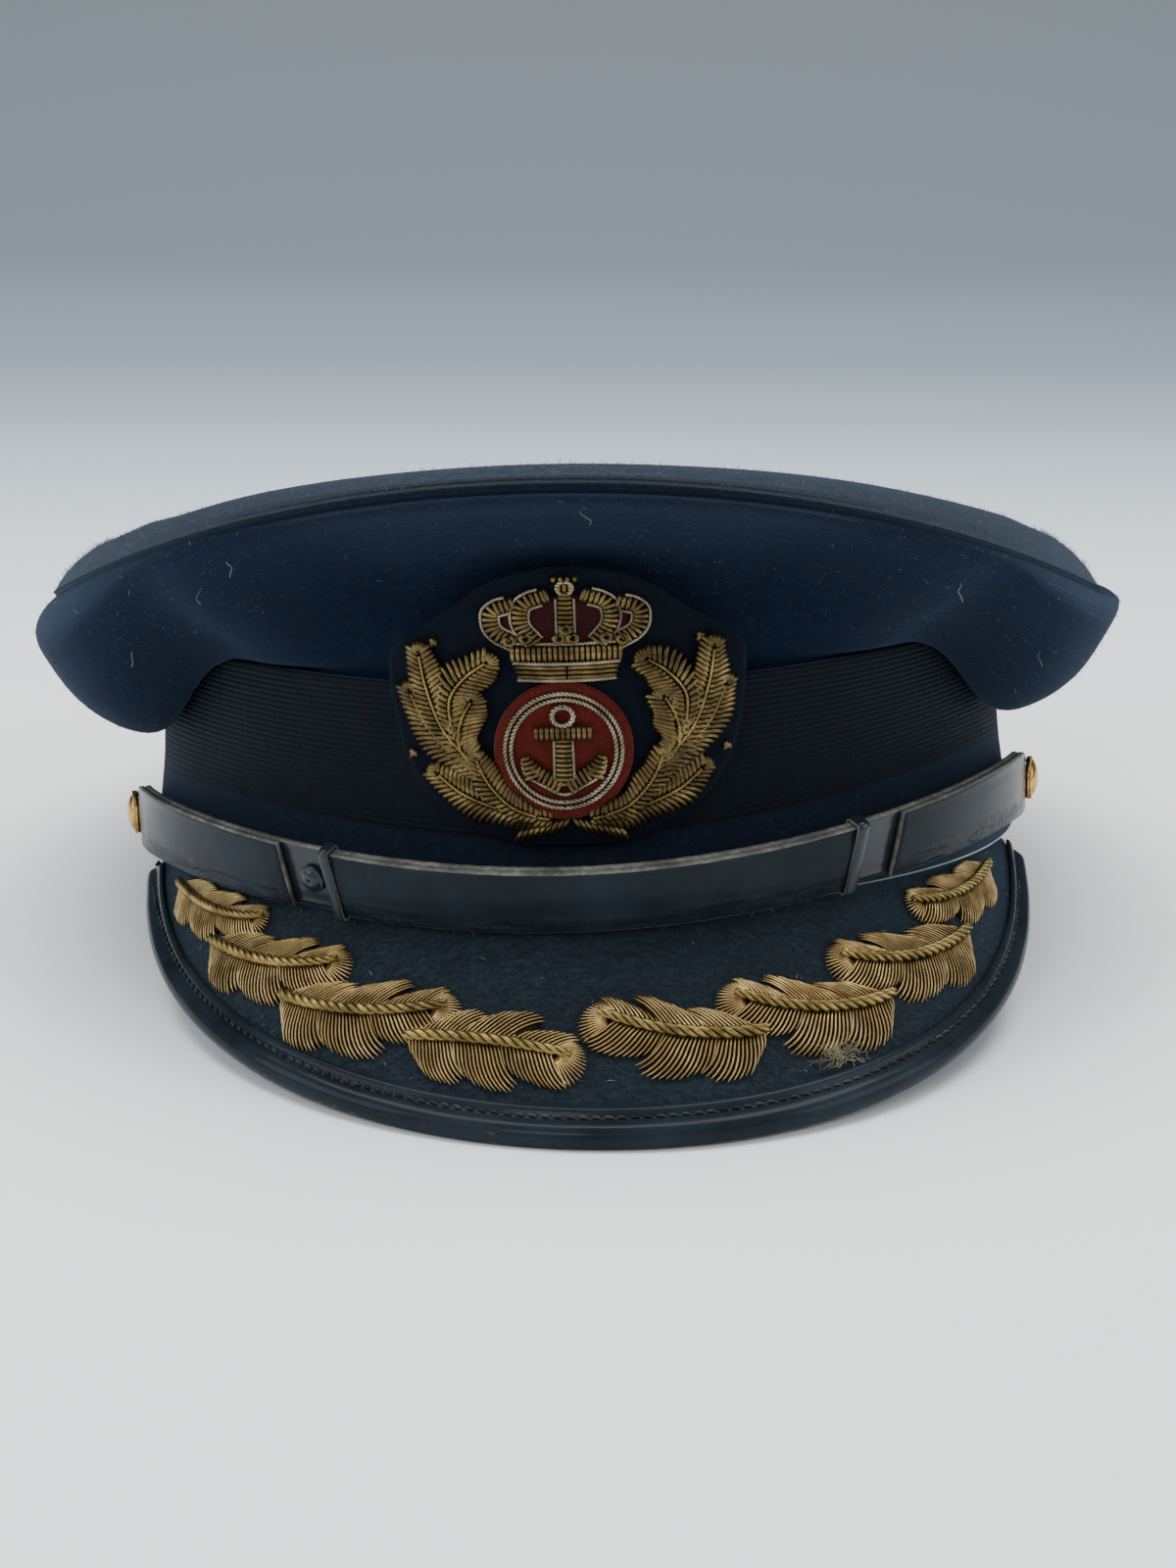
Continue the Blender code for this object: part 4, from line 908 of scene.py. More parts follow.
def make_binding():
    sections, wear = [], []
    for angle in visor_steps(320):
        edge = visor_width(angle) - BINDING_ROLL
        flange = min(BINDING_FLANGE, edge - BINDING_LEATHER)
        squeeze = min(flange / BINDING_FLANGE, 1.0)
        worn = math.exp(-((math.degrees(angle) - WEAR_ANGLE) / WEAR_SPREAD) ** 2)
        section = []
        for k, (out, lift) in enumerate(binding_outline(flange)):
            out = out * squeeze if -flange < out < 0 else out
            point = visor_point(angle, edge + out, lift)
            if k in DENTED:
                dent = 0.10 * MM * wobble(point, 120, 8.0) + 0.16 * MM * wobble(point, 42, 1.5)
                point = visor_point(angle, edge + out, lift + dent)
            section.append(tuple(point))
            wear.append(worn if k in WORN else 0.0)
        sections.append(section)
    loft("binding_leather", sections, "binding", "patent", ["visor_binding"], wear=wear)

    lines, path = [], []
    for angle in visor_steps(400)[8:-8]:
        edge = visor_width(angle) - BINDING_ROLL
        path.append(tuple(visor_point(angle, edge + GROOVE * min(edge / (3 * BINDING_FLANGE), 1), 0.74 * MM)))
    path = np.array(path)
    length = travelled(path)
    for k in range(int(length[-1] / STITCH_PITCH)):
        stitch = at_lengths(path, length, (k + np.array([0.10, 0.3, 0.5, 0.7, 0.9])) * STITCH_PITCH)
        side = np.cross(stitch[-1] - stitch[0], [0, 0, 1.0])
        side /= np.linalg.norm(side)
        stitch += side * np.linspace(-0.22, 0.22, 5)[:, None] * MM
        stitch[:, 2] += np.array([-0.14, 0.06, 0.12, 0.06, -0.14]) * MM
        lines.append((stitch, np.array([0.14, 0.26, 0.29, 0.26, 0.14]) * MM))
    strands("binding_stitches", lines, 6, "stitch", "patent")


# Chin strap

def strap_half_width(angle):
    to_end = (STRAP_END - abs(angle)) * BAND_HALF_WIDTH
    half = STRAP_WIDTH / 2
    if to_end >= STRAP_END_RADIUS:
        return half
    return max(half * math.sqrt(max(1 - (1 - to_end / STRAP_END_RADIUS) ** 2, 0.0)), half / 4)


def strap_layer(name, start, end, inner, outer, bulge, node):
    count = max(int(abs(end - start) / math.radians(0.7)), 8)
    angles = {mix(start, end, i / count) for i in range(count + 1)}
    rounding = STRAP_END_RADIUS / BAND_HALF_WIDTH
    for share in np.linspace(0.04, 1.0, 12):
        for angle in (STRAP_END - rounding * share, rounding * share - STRAP_END):
            if start < angle < end:
                angles.add(angle)
    face = 15
    sections = []
    for angle in sorted(angles):
        half, middle = strap_half_width(angle), STRAP_WIDTH / 2
        ragged = 0.12 * MM * noise.noise(Vector((angle * 60, inner * 900, 0)))
        low = middle - half + ragged
        high = middle + half - 2.4 * MM * ease((abs(angle) - math.radians(71)) / math.radians(9)) + ragged
        high = max(high, low + 2 * MM)
        section = [(low, inner), (high, inner), (high, outer - 0.25 * MM)]
        for k in range(face):
            t = k / (face - 1)
            edge = min(t, 1 - t) * (high - low) / MM
            swell = bulge * math.sin(math.pi * t)
            swell += 0.06 * MM * noise.noise(Vector((angle * 9, t * 2.5, inner * 900)))
            swell -= 0.24 * MM * math.exp(-((edge - 1.5) / 0.45) ** 2)
            section.append((mix(high - 0.25 * MM, low + 0.25 * MM, t), outer + swell))
        section.append((low, outer - 0.25 * MM))
        sections.append([tuple(strap_point(angle, across, depth)) for across, depth in section])
    look = "patent" if node == "strap_back" else "patent_pleated"
    edges = (1, 2, face + 2, face + 3)
    loft(name, sections, look, "patent", [node], second="edge", edge_columns=edges)


def make_straps():
    inner, outer = LEATHER + CLEARANCE, 2 * LEATHER + CLEARANCE
    left, right = KEEPERS["keeper_left"][0], KEEPERS["keeper_right"][0]
    strap_layer("strap_back_leather", -STRAP_END, STRAP_END, 0.0, LEATHER, 0.0, "strap_back")
    strap_layer("strap_left_leather", -STRAP_END, LEFT_PIECE_END, inner, outer, 0.2 * MM, "strap_left")
    strap_layer("strap_middle_leather", left, right, inner, outer, 0.35 * MM, "strap_middle")
    strap_layer("strap_right_leather", RIGHT_PIECE_START, STRAP_END, inner, outer, 0.2 * MM, "strap_right")


def make_keeper(name):
    """Loop of leather with rounded corners round both layers of the strap."""
    centre, wide = KEEPERS[name]
    half = wide / (2 * BAND_FRONT)
    thick = 2 * LEATHER + CLEARANCE
    low, high = -CLEARANCE, STRAP_WIDTH + CLEARANCE
    back, front = -CLEARANCE, thick + CLEARANCE * 1.4
    corner, leather = 0.55 * MM, 0.8 * MM
    middles = ((high - corner, front - corner, 0), (low + corner, front - corner, 90),
               (low + corner, back + corner, 180), (high - corner, back + corner, 270))
    rounded = [(share * half, corner + leather * thick_share) for share, thick_share in
               ((-1.0, 0), (-1.0, 0.6), (-0.7, 1), (0.0, 1.08), (0.7, 1), (1.0, 0.6), (1.0, 0))]
    sections = []
    for across, depth, start in middles:
        for step in range(6):
            turn = math.radians(start + 18 * step)
            up, out = math.cos(turn), math.sin(turn)
            sections.append([tuple(strap_point(centre + aside, across + up * radius, depth + out * radius))
                             for aside, radius in rounded])
    loft(name + "_leather", sections, "patent", "patent", [name], ring=True, second="edge",
         edge_columns=(0, 5))


def on_strap(angle, depth=0.0):
    """Placer of points round an axis that stands on the strap's middle line."""
    quaternion = strap_frame(angle)[2].normalized().to_track_quat("Z", "Y")
    spot = strap_point(angle, STRAP_WIDTH / 2, depth)
    return lambda radius, turn, up: tuple(
        spot + quaternion @ Vector((radius * math.cos(turn), radius * math.sin(turn), up)))


def turned(name, profile, place, steps, look, slot, stands_for):
    sections = [[place(radius, turn, up) for radius, up in profile] for turn in ring_angles(steps)]
    loft(name, sections, look, slot, stands_for, ring=True)


STUD_PROFILE = ((0.05, 1.75), (0.9, 1.70), (1.6, 1.5), (2.05, 1.15), (2.2, 0.95), (2.4, 1.0), (2.65, 0.85),
                (2.75, 0.5), (2.75, 0.0), (0.05, 0.0))        # radius and height in millimetres


def make_stud():
    profile = [(radius * MM, up * MM) for radius, up in STUD_PROFILE]
    place = on_strap(STUD_ANGLE, LEATHER + CLEARANCE / 2)
    turned("snap_stud_cap", profile, place, 32, "patent", "patent", ["snap_stud"])


def make_button(name, angle):
    place = on_strap(angle)
    seat = 2 * LEATHER + 1.2 * CLEARANCE
    dome = [(BUTTON_RADIUS * 0.9 * math.sin(t) + 0.02 * MM, seat + 0.7 * MM + 1.8 * MM * math.cos(t))
            for t in np.linspace(0, math.radians(84), 10)]
    profile = dome + [(BUTTON_RADIUS * 0.93, seat + 0.75 * MM), (BUTTON_RADIUS * 0.98, seat + 0.95 * MM),
                      (BUTTON_RADIUS * 1.03, seat + 0.75 * MM), (BUTTON_RADIUS, seat + 0.1 * MM),
                      (BUTTON_RADIUS * 0.9, seat), (1.2 * MM, seat), (1.2 * MM, -3.2 * MM),
                      (0.02 * MM, -3.2 * MM)]
    turned(name + "_dome", profile, place, 40, "gilt", "gilt", [name])
    turns = ring_angles(49)[:-1] + [TAU * 0.998]
    rope = [place(BUTTON_RADIUS * 0.95, turn, seat + 0.95 * MM) for turn in turns]
    strands(name + "_rope", twisted(rope, 0.34 * MM, 1.5 * MM), 6, "gilt", "gilt")


# Badge

def on_badge(points, lift):
    lifts = np.broadcast_to(lift, (len(points),))
    return np.array([tuple(badge_point(x * MM, y * MM, z)) for (x, y), z in zip(points, lifts)])


def make_backing():
    half = BADGE_WIDTH / 2 + BACKING_MARGIN / 2
    tall = BADGE_HEIGHT + 2 * BACKING_MARGIN
    rows = []
    for up, share in smooth_line(BACKING_OUTLINE, 60):
        up = min(max(up, 0.0), 1.0)
        row = []
        for x in np.linspace(-half * share, half * share, 60):
            edge = 0.25 * MM * wobble((x, up * tall, 0), 700, 2.0) * (abs(x) > half * share * 0.97)
            row.append(tuple(badge_point(x + edge, up * tall - BACKING_MARGIN, BACKING_THICK)))
        rows.append(row)
    # the backing wears the darkened wool: painted shade
    shell("badge_backing_cloth", rows, BACKING_THICK, "wool_badge_painted_shade", "wool", ["badge_backing"])


FACE = BACKING_THICK + CLEARANCE            # the embroidery starts here
VELVET_TOP = FACE + MEDALLION_THICK * 1.1
# How the velvet rounds off: share of the oval's size, and share of its thickness
VELVET_ROWS = ((1.0, 0.05), (1.005, 0.45), (0.985, 0.8), (0.95, 1.0), (0.85, 1.06), (0.6, 1.1), (0.3, 1.1))
BORDER_CORDS = {"outer": 0.83, "inner": 0.745}
MIDDLE = MEDALLION_RISE + MEDALLION_HEIGHT / 2


def oval(size, turns):
    """Points of the medallion's oval at a share of its size, in millimetres."""
    return [((MEDALLION_SHIFT + MEDALLION_WIDTH / 2 * size * math.sin(t)) / MM,
             (MIDDLE - MEDALLION_HEIGHT / 2 * size * math.cos(t)) / MM) for t in turns]


def make_medallion():
    turns = ring_angles(96)
    rows = [on_badge(oval(size, turns), FACE + MEDALLION_THICK * lift) for size, lift in VELVET_ROWS]
    centre = tuple(badge_point(MEDALLION_SHIFT, MIDDLE, VELVET_TOP))
    shell("badge_velvet", rows, 0.4 * MM, "velvet", "velvet", ["badge_medallion"], ring=True, centre=centre)
    for name, size in BORDER_CORDS.items():
        path = on_badge(oval(size, np.linspace(0, TAU * 0.997, 90)), VELVET_TOP + 0.4 * MM)
        lines = twisted(path, 0.46 * MM, 1.55 * MM)
        strands("badge_border_" + name, lines, 6, "silver_cord", "bullion", ["badge_cord_" + name])


def on_spine(path, length, along, reach):
    """A flat spine's point at a length, with the ways ahead and to its left."""
    ahead = at_lengths(path, length, along + reach) - at_lengths(path, length, along - reach)
    ahead /= np.linalg.norm(ahead)
    return at_lengths(path, length, along), ahead, np.array([-ahead[1], ahead[0]])


COIL_PITCH, COIL_RADIUS = 0.92, 0.48        # of the wreath's coils, in millimetres


def coil_leaf(spine, half, lift, slant):
    """Bullion coils laid slantwise across both sides of a spine, drawn flat in millimetres."""
    path = smooth_line(spine, 60)
    length = travelled(path)
    lines = []
    for side in (-1, 1):
        for k in range(int(length[-1] / COIL_PITCH)):
            along = (k + 0.4) * COIL_PITCH
            share = along / length[-1]
            spot, ahead, left = on_spine(path, length, along, 0.3)
            lobe = 0.92 + 0.10 * math.sin(share * 13 + side)
            broad = float(np.interp(share, (0, 0.2, 0.5, 0.8, 1.0), (0.55, 0.85, 1.0, 0.92, 0.62)))
            reach = 1.1 * half * broad * lobe
            lean = math.radians(mix(slant, slant + 22, share ** 3))
            way = left * side * math.cos(lean) + ahead * math.sin(lean)
            bend = ahead * reach * 0.10
            spots = [spot + way * 0.25, spot + way * reach * 0.45 + bend,
                     spot + way * reach * 0.85 + bend * 1.4, spot + way * reach + bend * 1.2]
            hill = np.interp(np.linspace(0, 3, 7), range(4), np.array([0.55, 0.95, 0.55, 0.05]) * MM)
            lines.append((on_badge(smooth_line(spots, 7), FACE + lift + hill),
                          np.array([0.8, 1, 1, 1, 1, 1, 0.75]) * COIL_RADIUS * MM))
    ahead = path[-1] - path[-4]
    ahead /= np.linalg.norm(ahead)
    across = np.array([-ahead[1], ahead[0]])
    for k in range(-2, 3):
        way = ahead * math.cos(k * 0.42) + across * math.sin(k * 0.42)
        spots = [path[-1] - ahead * 0.4 + way * reach for reach in (0.2, half * 0.28, half * 0.50)]
        lines.append((on_badge(smooth_line(spots, 5), FACE + lift + np.array([0.8, 0.9, 0.7, 0.4, 0.1]) * MM),
                      np.array([0.8, 1, 1, 1, 0.75]) * COIL_RADIUS * MM))
    vein = on_badge(path[2:-3:3], FACE + lift + 1.15 * MM)
    return lines, twisted(vein, 0.30 * MM, 1.3 * MM)


# Spines of one side's leaves in millimetres from the badge's foot, with half-width, height and slant
WREATH_LEAVES = (
    (((-11, 8.5), (-18.5, 14), (-23.5, 20), (-26.6, 27.5)), 3.4, 0.0, 16),
    (((-3.0, 3.0), (-11, 4.8), (-18.5, 8.0), (-23.2, 12.2)), 3.6, 0.15, 14),
    (((-14.5, 12), (-20.5, 19), (-23.2, 27), (-24.2, 34.5)), 3.5, 0.45, 14),
    (((-19.5, 20), (-19.4, 25.5), (-16.6, 29.5), (-12.6, 32.4)), 3.9, 0.7, 14),
    (((-14.5, 11.5), (-18.2, 16.0), (-18.0, 21.0), (-15.6, 25.6)), 3.9, 0.5, 14),
    (((-5.5, 3.6), (-10, 5.6), (-13.8, 10.0), (-15.8, 15.0)), 3.0, 0.75, 16),
)


def make_wreath(name, side):
    lines, veins = [], []
    for spine, half, lift, slant in WREATH_LEAVES:
        turned_spine = [(x * side * -1 * 0.985, y) for x, y in spine]
        coils, vein = coil_leaf(turned_spine, half, lift * MM, slant)
        lines += coils
        veins += vein
    for k in range(9):
        x, y = (0.9 + k * 1.0) * side, 2.2 - 0.26 * k
        lines.append((on_badge([(x - side * 0.5, y + 1.1), (x, y + 0.2), (x + side * 0.8, y - 1.1)],
                               FACE + np.array([0.4, 0.8, 0.2]) * MM), 0.44 * MM))
    for x, y in ((21.6, 35.6), (26.4, 15.2)):
        for turn in (0.4, 2.2, 4.4):
            spots = [(side * x + 0.75 * math.cos(turn), y + 0.75 * math.sin(turn)), (side * x, y + 0.3),
                     (side * x - 0.7 * math.cos(turn + 0.5), y - 0.9 * math.sin(turn + 0.5))]
            lines.append((on_badge(spots, FACE + 0.5 * MM), 0.40 * MM))
    strands(name + "_coils", lines, 7, "bullion", "bullion", [name])
    strands(name + "_veins", veins, 6, "cord", "bullion")


def stack(start, end, half_start, half_end, lift, tilt=0.0, radius=0.43):
    """Coils laid side by side from start to end, each across the way."""
    start, end = np.array(start, float), np.array(end, float)
    span = np.linalg.norm(end - start)
    ahead = (end - start) / span
    across = np.array([-ahead[1], ahead[0]])
    across = across * math.cos(tilt) + ahead * math.sin(tilt)
    lines = []
    count = max(int(span / (radius * 2)), 1)
    for k in range(count + 1):
        share = k / count
        spot = mix(start, end, share)
        half = mix(half_start, half_end, share)
        spots = [spot + across * half * out for out in (-1, -0.5, 0, 0.5, 1)]
        arch = np.interp(np.linspace(0, 4, 7), range(5), np.array([0.0, 0.75, 1.0, 0.75, 0.0]) * 0.6 * MM)
        lines.append((on_badge(smooth_line(spots, 7), lift + arch), radius * MM))
    return lines


# Stacks of one arm, in millimetres from the anchor's foot: start, end, half-widths, lift and tilt
ANCHOR_ARM = (((1.0, 2.0), (5.2, 5.4), 1.55, 1.3, 0.0, 0.25), ((4.9, 4.2), (6.3, 7.4), 1.8, 0.7, 0.2, 0.0))


def make_anchor():
    low = VELVET_TOP + 0.42 * MM
    centre = MEDALLION_SHIFT / MM
    foot = MIDDLE / MM - 8.6
    lines = stack((centre, foot + 2.6), (centre, foot + 13.2), 1.5, 1.35, low)
    lines += stack((centre - 4.3, foot + 11.9), (centre + 4.3, foot + 11.9), 1.15, 1.15, low + 0.5 * MM)
    for side in (-1, 1):
        for (x, y), (end_x, end_y), wide, narrow, lift, tilt in ANCHOR_ARM:
            lines += stack((centre + side * x, foot + y), (centre + side * end_x, foot + end_y), wide, narrow,
                           low + lift * MM, tilt=tilt * side)
    strands("anchor_coils", lines, 7, "bullion", "bullion", ["badge_anchor"])
    outline = [(-6.9, 7.4), (-6.4, 4.6), (-3.2, 2.2), (0, 0.7), (3.2, 2.2), (6.4, 4.6), (6.9, 7.4)]
    outline = [(centre + x, foot + y) for x, y in outline]
    cords = twisted(on_badge(outline, low + 0.35 * MM), 0.34 * MM, 1.2 * MM)
    ring = [(centre + 1.7 * math.sin(t), foot + 15.0 + 1.7 * math.cos(t))
            for t in np.linspace(0.05, TAU - 0.05, 30)]
    cords += twisted(on_badge(ring, low + 0.5 * MM), 0.55 * MM, 1.5 * MM)
    for side in (-1, 1):
        shank = [(centre + side * x, foot + y) for x, y in ((1.65, 3.4), (1.55, 8), (1.5, 12.6))]
        cords += twisted(on_badge(shank, low + 0.3 * MM), 0.30 * MM, 1.1 * MM)
    strands("anchor_cords", cords, 6, "silver_cord", "bullion")


# All in millimetres: arches as four spine points and two half-widths, and the loops' middles
ARCHES = (
    ((0, 6.9), (0, 10), (0, 13), (0, 15.6), 1.5, 1.1),
    ((4.9, 6.9), (7.2, 10.2), (6.7, 13.8), (2.8, 15.4), 1.45, 1.2),
    ((8.2, 6.9), (11.6, 9.2), (11.8, 12.6), (8.2, 14.0), 1.5, 1.15),
)
LOOPS = ((-9.0, 7.3), (-6.4, 7.7), (-1.1, 7.6), (1.1, 7.6), (0.0, 9.2), (6.4, 7.7), (9.0, 7.3))
ARCH_PITCH = 0.86


def make_ornament():
    """Heraldic crown: a base band, five arches of coils, velvet between them and a ball on top."""
    base, low = 28.6, FACE
    lines, cords = [], []
    for y, half in ((base + 0.5, 8.0), (base + 1.35, 8.2), (base + 2.2, 8.4)):
        for side in (-1, 1):
            spots = [(side * 0.15, y), (side * half * 0.5, y + 0.1), (side * half, y + 0.3)]
            lines.append((on_badge(spots, low + 0.5 * MM), 0.42 * MM))
    lines += stack((-8.7, base + 4.9), (8.7, base + 4.9), 1.35, 1.35, low + 0.35 * MM)
    for y, half in ((base - 0.1, 8.0), (base + 2.95, 8.7), (base + 6.6, 9.2)):
        path = [(x, y + 0.35 * (x / half) ** 2) for x in np.linspace(-half, half, 9)]
        cords += twisted(on_badge(path, low + 0.7 * MM), 0.36 * MM, 1.25 * MM)
    arch_hill = np.array([0.15, 0.75, 0.95, 0.95, 0.75, 0.15]) * MM
    for *corners, wide, narrow in ARCHES:
        for side in ((1,) if corners[0][0] == 0 else (-1, 1)):
            spine = smooth_line([(x * side, base + y) for x, y in corners], 40)
            length = travelled(spine)
            for k in range(int(length[-1] / ARCH_PITCH) + 1):
                along = min(k * ARCH_PITCH + 0.2, length[-1] - 0.1)
                spot, _, left = on_spine(spine, length, along, 0.4)
                half = mix(wide, narrow, along / length[-1])
                spots = [spot + left * half * out for out in (-1, -0.4, 0.4, 1)]
                lines.append((on_badge(smooth_line(spots, 6), low + arch_hill), 0.43 * MM))
            for offset in (-1, 1):
                ahead = np.gradient(spine, axis=0)
                ahead /= np.linalg.norm(ahead, axis=1, keepdims=True)
                away = offset * (mix(wide, narrow, 0.5) + 0.15)
                rim = spine + np.stack([-ahead[:, 1], ahead[:, 0]], 1) * away
                cords += twisted(on_badge(rim[::5], low + 0.55 * MM), 0.32 * MM, 1.15 * MM)
    for x, y in LOOPS:
        loop = [(x + 0.85 * math.sin(t), base + y + 0.75 * math.cos(t))
                for t in np.linspace(0, TAU * 0.94, 7)]
        lines.append((on_badge(loop, low + np.linspace(1.1, 1.7, 7) * MM), 0.42 * MM))
    ball = [(1.25 * math.sin(t), base + 16.6 + 1.1 * math.cos(t)) for t in np.linspace(0, TAU * 0.97, 24)]
    cords += twisted(on_badge(ball, low + 0.8 * MM), 0.42 * MM, 1.2 * MM)
    lines += stack((-0.9, base + 16.6), (0.9, base + 16.6), 0.9, 0.9, low + 0.3 * MM)
    lines += stack((-1.7, base + 18.2), (1.7, base + 18.2), 0.3, 0.3, low + 0.4 * MM)
    strands("ornament_coils", lines, 7, "bullion", "bullion", ["badge_crown"])
    strands("ornament_cords", cords, 6, "silver_cord", "bullion")
    rows = []
    for share in np.linspace(0, 1, 8):
        half = 8.2 + 3.0 * math.sin(math.pi * min(share * 0.9, 1.0)) - 4.8 * share ** 3
        height = base + 6.2 + 8.9 * share
        rows.append(on_badge([(x, height) for x in np.linspace(-half, half, 24)], low + 0.32 * MM))
    # the velvet between the arches is the darker copy: painted shade
    shell("ornament_velvet", rows, 0.25 * MM, "velvet_painted_shade", "velvet")


# Leaves on the peak

# Lobes on each side of a leaf's midrib: where the lobe starts and ends along it, and its reach
UPPER_LOBES = ((0.02, 0.36, 1.02), (0.36, 0.70, 1.22), (0.70, 1.0, 0.82))
LOWER_LOBES = ((0.0, 0.33, 1.12), (0.33, 0.66, 1.24), (0.66, 1.0, 0.98))
LEAF_HALF = 8.6 * MM
LEAF_END = 0.84                  # the midrib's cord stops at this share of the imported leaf
THREAD = 0.205 * MM
THREAD_PITCH = 0.62 * MM         # between threads, at right angles to them
PAD_HEIGHT = 1.35 * MM           # the padding's ridge, and where the tip's fan starts
TIP_HEIGHT = 1.25 * MM
THREAD_LIFT, PAD_LIFT = 0.30 * MM, 0.02 * MM
PAD_CLOTH = 0.12 * MM
CORD_TAPER = ([0, 0.06, 0.6, 0.92, 1.0], [0.70, 1.0, 0.95, 0.8, 0.55])


def midrib(row, share):
    angle = wide = 0.0
    for weight, k in (((1 - share) ** 2, 0), (2 * share * (1 - share), 2), (share ** 2, 4)):
        angle += weight * math.radians(row[k])
        wide += weight * row[k + 1]
    return angle, wide * visor_width(angle)


def around_radius(angle, reach):
    return (visor_point(angle + 0.01, reach) - visor_point(angle - 0.01, reach)).length / 0.02


def lobe_reach(lobes, share):
    for start, end, reach in lobes:
        if start <= share <= end:
            t = (share - start) / (end - start)
            return reach * float(np.interp(t, (0.0, 0.25, 0.55, 0.78, 1.0), (0.58, 0.82, 0.98, 1.0, 0.82))), t
    return 0.2, 0.0


def make_leaf(node):
    row = LEAF_ROWS[node]
    size = row[6]
    rib = [visor_point(*midrib(row, i / 20)) for i in range(21)]
    length = LEAF_END * sum((after - before).length for before, after in zip(rib, rib[1:]))
    flip = 1.0 if row[4] > row[0] else -1.0
    half = LEAF_HALF * size
    threads = []

    def slant(share, side):
        """How far the threads turn from the way to the tip, on one side of the midrib."""
        return side * math.radians(mix(52, 44, share) if side < 0 else mix(74, 56, share))

    def place(share, direction, distance, lift):
        """Point at a distance from the midrib in a direction measured from the way to the tip."""
        share *= LEAF_END
        angle, reach = midrib(row, share)
        ahead_angle, ahead_reach = midrib(row, share + 0.01)
        radius = around_radius(angle, reach)
        way = math.atan2(ahead_reach - reach, (ahead_angle - angle) * radius * flip) + direction
        aside = flip * math.cos(way) * distance / radius
        return tuple(visor_point(angle + aside, reach + math.sin(way) * distance, CLEARANCE + lift))

    def broad(lobe, share):
        """How far a lobe spreads from the midrib."""
        return half * lobe * min(0.45 + share * 6, 1.0)

    for side, lobes in ((-1, UPPER_LOBES), (1, LOWER_LOBES)):
        count = int(length * math.sin(math.radians(48 if side < 0 else 65)) / THREAD_PITCH)
        for k in range(count):
            share = (k + 0.5) / count
            reach, t = lobe_reach(lobes, share)
            if reach <= 0.2:
                continue
            far = broad(reach, share) * (1 + 0.025 * chance.uniform(-1, 1))
            spots = []
            for step in (0.05, 0.28, 0.52, 0.76, 0.92, 1.0):
                curve = slant(share, side) * (1.0 + 0.10 * math.sin(math.pi * step))
                curve -= side * 0.20 * (t - 0.35) * step
                hill = PAD_HEIGHT * size * (1 - step ** 2) + THREAD_LIFT
                spots.append(place(share, curve, far * step, hill + 0.04 * MM * chance.uniform(-1, 1)))
            threads.append((smooth_line(spots, 8), THREAD * np.array([1, 1, 1, 1, 1, 1, 0.9, 0.5])))
    fan = int(11 * size) + 4
    for k in range(fan + 1):
        turn = mix(slant(1.0, -1), slant(1.0, 1), k / fan)
        far = half * (mix(0.58, 0.86, k / fan) + 0.05 * math.sin(math.pi * k / fan))
        spots = [place(1.0, turn, far * step, TIP_HEIGHT * size * (1 - step ** 2) + THREAD_LIFT)
                 for step in (0.24, 0.45, 0.65, 0.88, 1.0)]
        threads.append((smooth_line(spots, 6), THREAD * np.array([0.7, 1, 1, 1, 0.9, 0.5])))
    strands(node + "_threads", threads, 6, "leaf", "leaf", [node])

    columns = []
    for k in range(41):
        share = k / 40
        up, _ = lobe_reach(UPPER_LOBES, max(share, 0.031))
        down, _ = lobe_reach(LOWER_LOBES, share)
        column = []
        for value in np.linspace(-1, 1, 17):
            side = -1 if value < 0 else 1
            far = broad(up if side < 0 else down, share) * abs(value) * 0.92
            hill = PAD_HEIGHT * size * (1 - value ** 2) + PAD_LIFT
            column.append(place(share, slant(share, side), far, hill))
        columns.append(column)
    shell(node + "_padding", np.array(columns).transpose(1, 0, 2), PAD_CLOTH, "padding", "leaf")
    tip = [[place(1.0, mix(slant(1.0, -1), slant(1.0, 1), k / 12), half * 0.55 * step,
                  TIP_HEIGHT * size * (1 - step ** 2) + PAD_LIFT) for k in range(13)]
           for step in (0.94, 0.6, 0.3, 0.05)]
    shell(node + "_tip_padding", tip, PAD_CLOTH, "padding", "leaf")

    spine = [place(share, 0.0, 0.0, PAD_HEIGHT * size + 0.85 * MM) for share in np.linspace(-0.02, 1.12, 16)]
    stout = 0.5 + 0.5 * size
    cord = twisted(spine, 1.25 * MM * stout, 6.0 * MM * stout, 3, 0.44, CORD_TAPER)
    strands(node + "_cord", cord, 9, "cord", "leaf")


def make_frayed_patch():
    lines = []
    for _ in range(90):
        angle = math.radians(chance.gauss(22.8, 0.7))
        reach = visor_width(angle) * chance.gauss(0.745, 0.030)
        step = Vector((chance.uniform(-1, 1), chance.uniform(-1, 1), 0))
        points, place_at = [], Vector((angle, reach, 0))
        for _ in range(7):
            lift = CLEARANCE + chance.uniform(0.1, 0.9) * MM
            points.append(tuple(visor_point(place_at.x, place_at.y, lift)))
            step = (step + Vector((chance.uniform(-1, 1), chance.uniform(-1, 1), 0)) * 0.9).normalized()
            place_at += Vector((step.x * 0.006, step.y * 0.5 * MM, 0))
        lines.append((smooth_line(points, 12), 0.060 * MM))
    strands("frayed_threads", lines, 4, "frayed", "leaf")


# Loose fibres

CURL = 0.6
TOP_FIBRES, SIDE_FIBRES, STRAY_FIBRES, PEAK_FIBRES = 7000, 4000, 45, 70
# Long fibres on the crown: degrees round it, the profile's point that they cross, and length in millimetres
LONG_FIBRES = ((41, 17, 5.5), (-38, 17, 5.0), (-33, 19, 6.0), (2, 19, 5.0), (56, 15, 3.5), (-52, 14, 4.5))


def random_way(low=-1, high=1):
    return Vector((chance.uniform(-1, 1), chance.uniform(-1, 1), chance.uniform(low, high)))


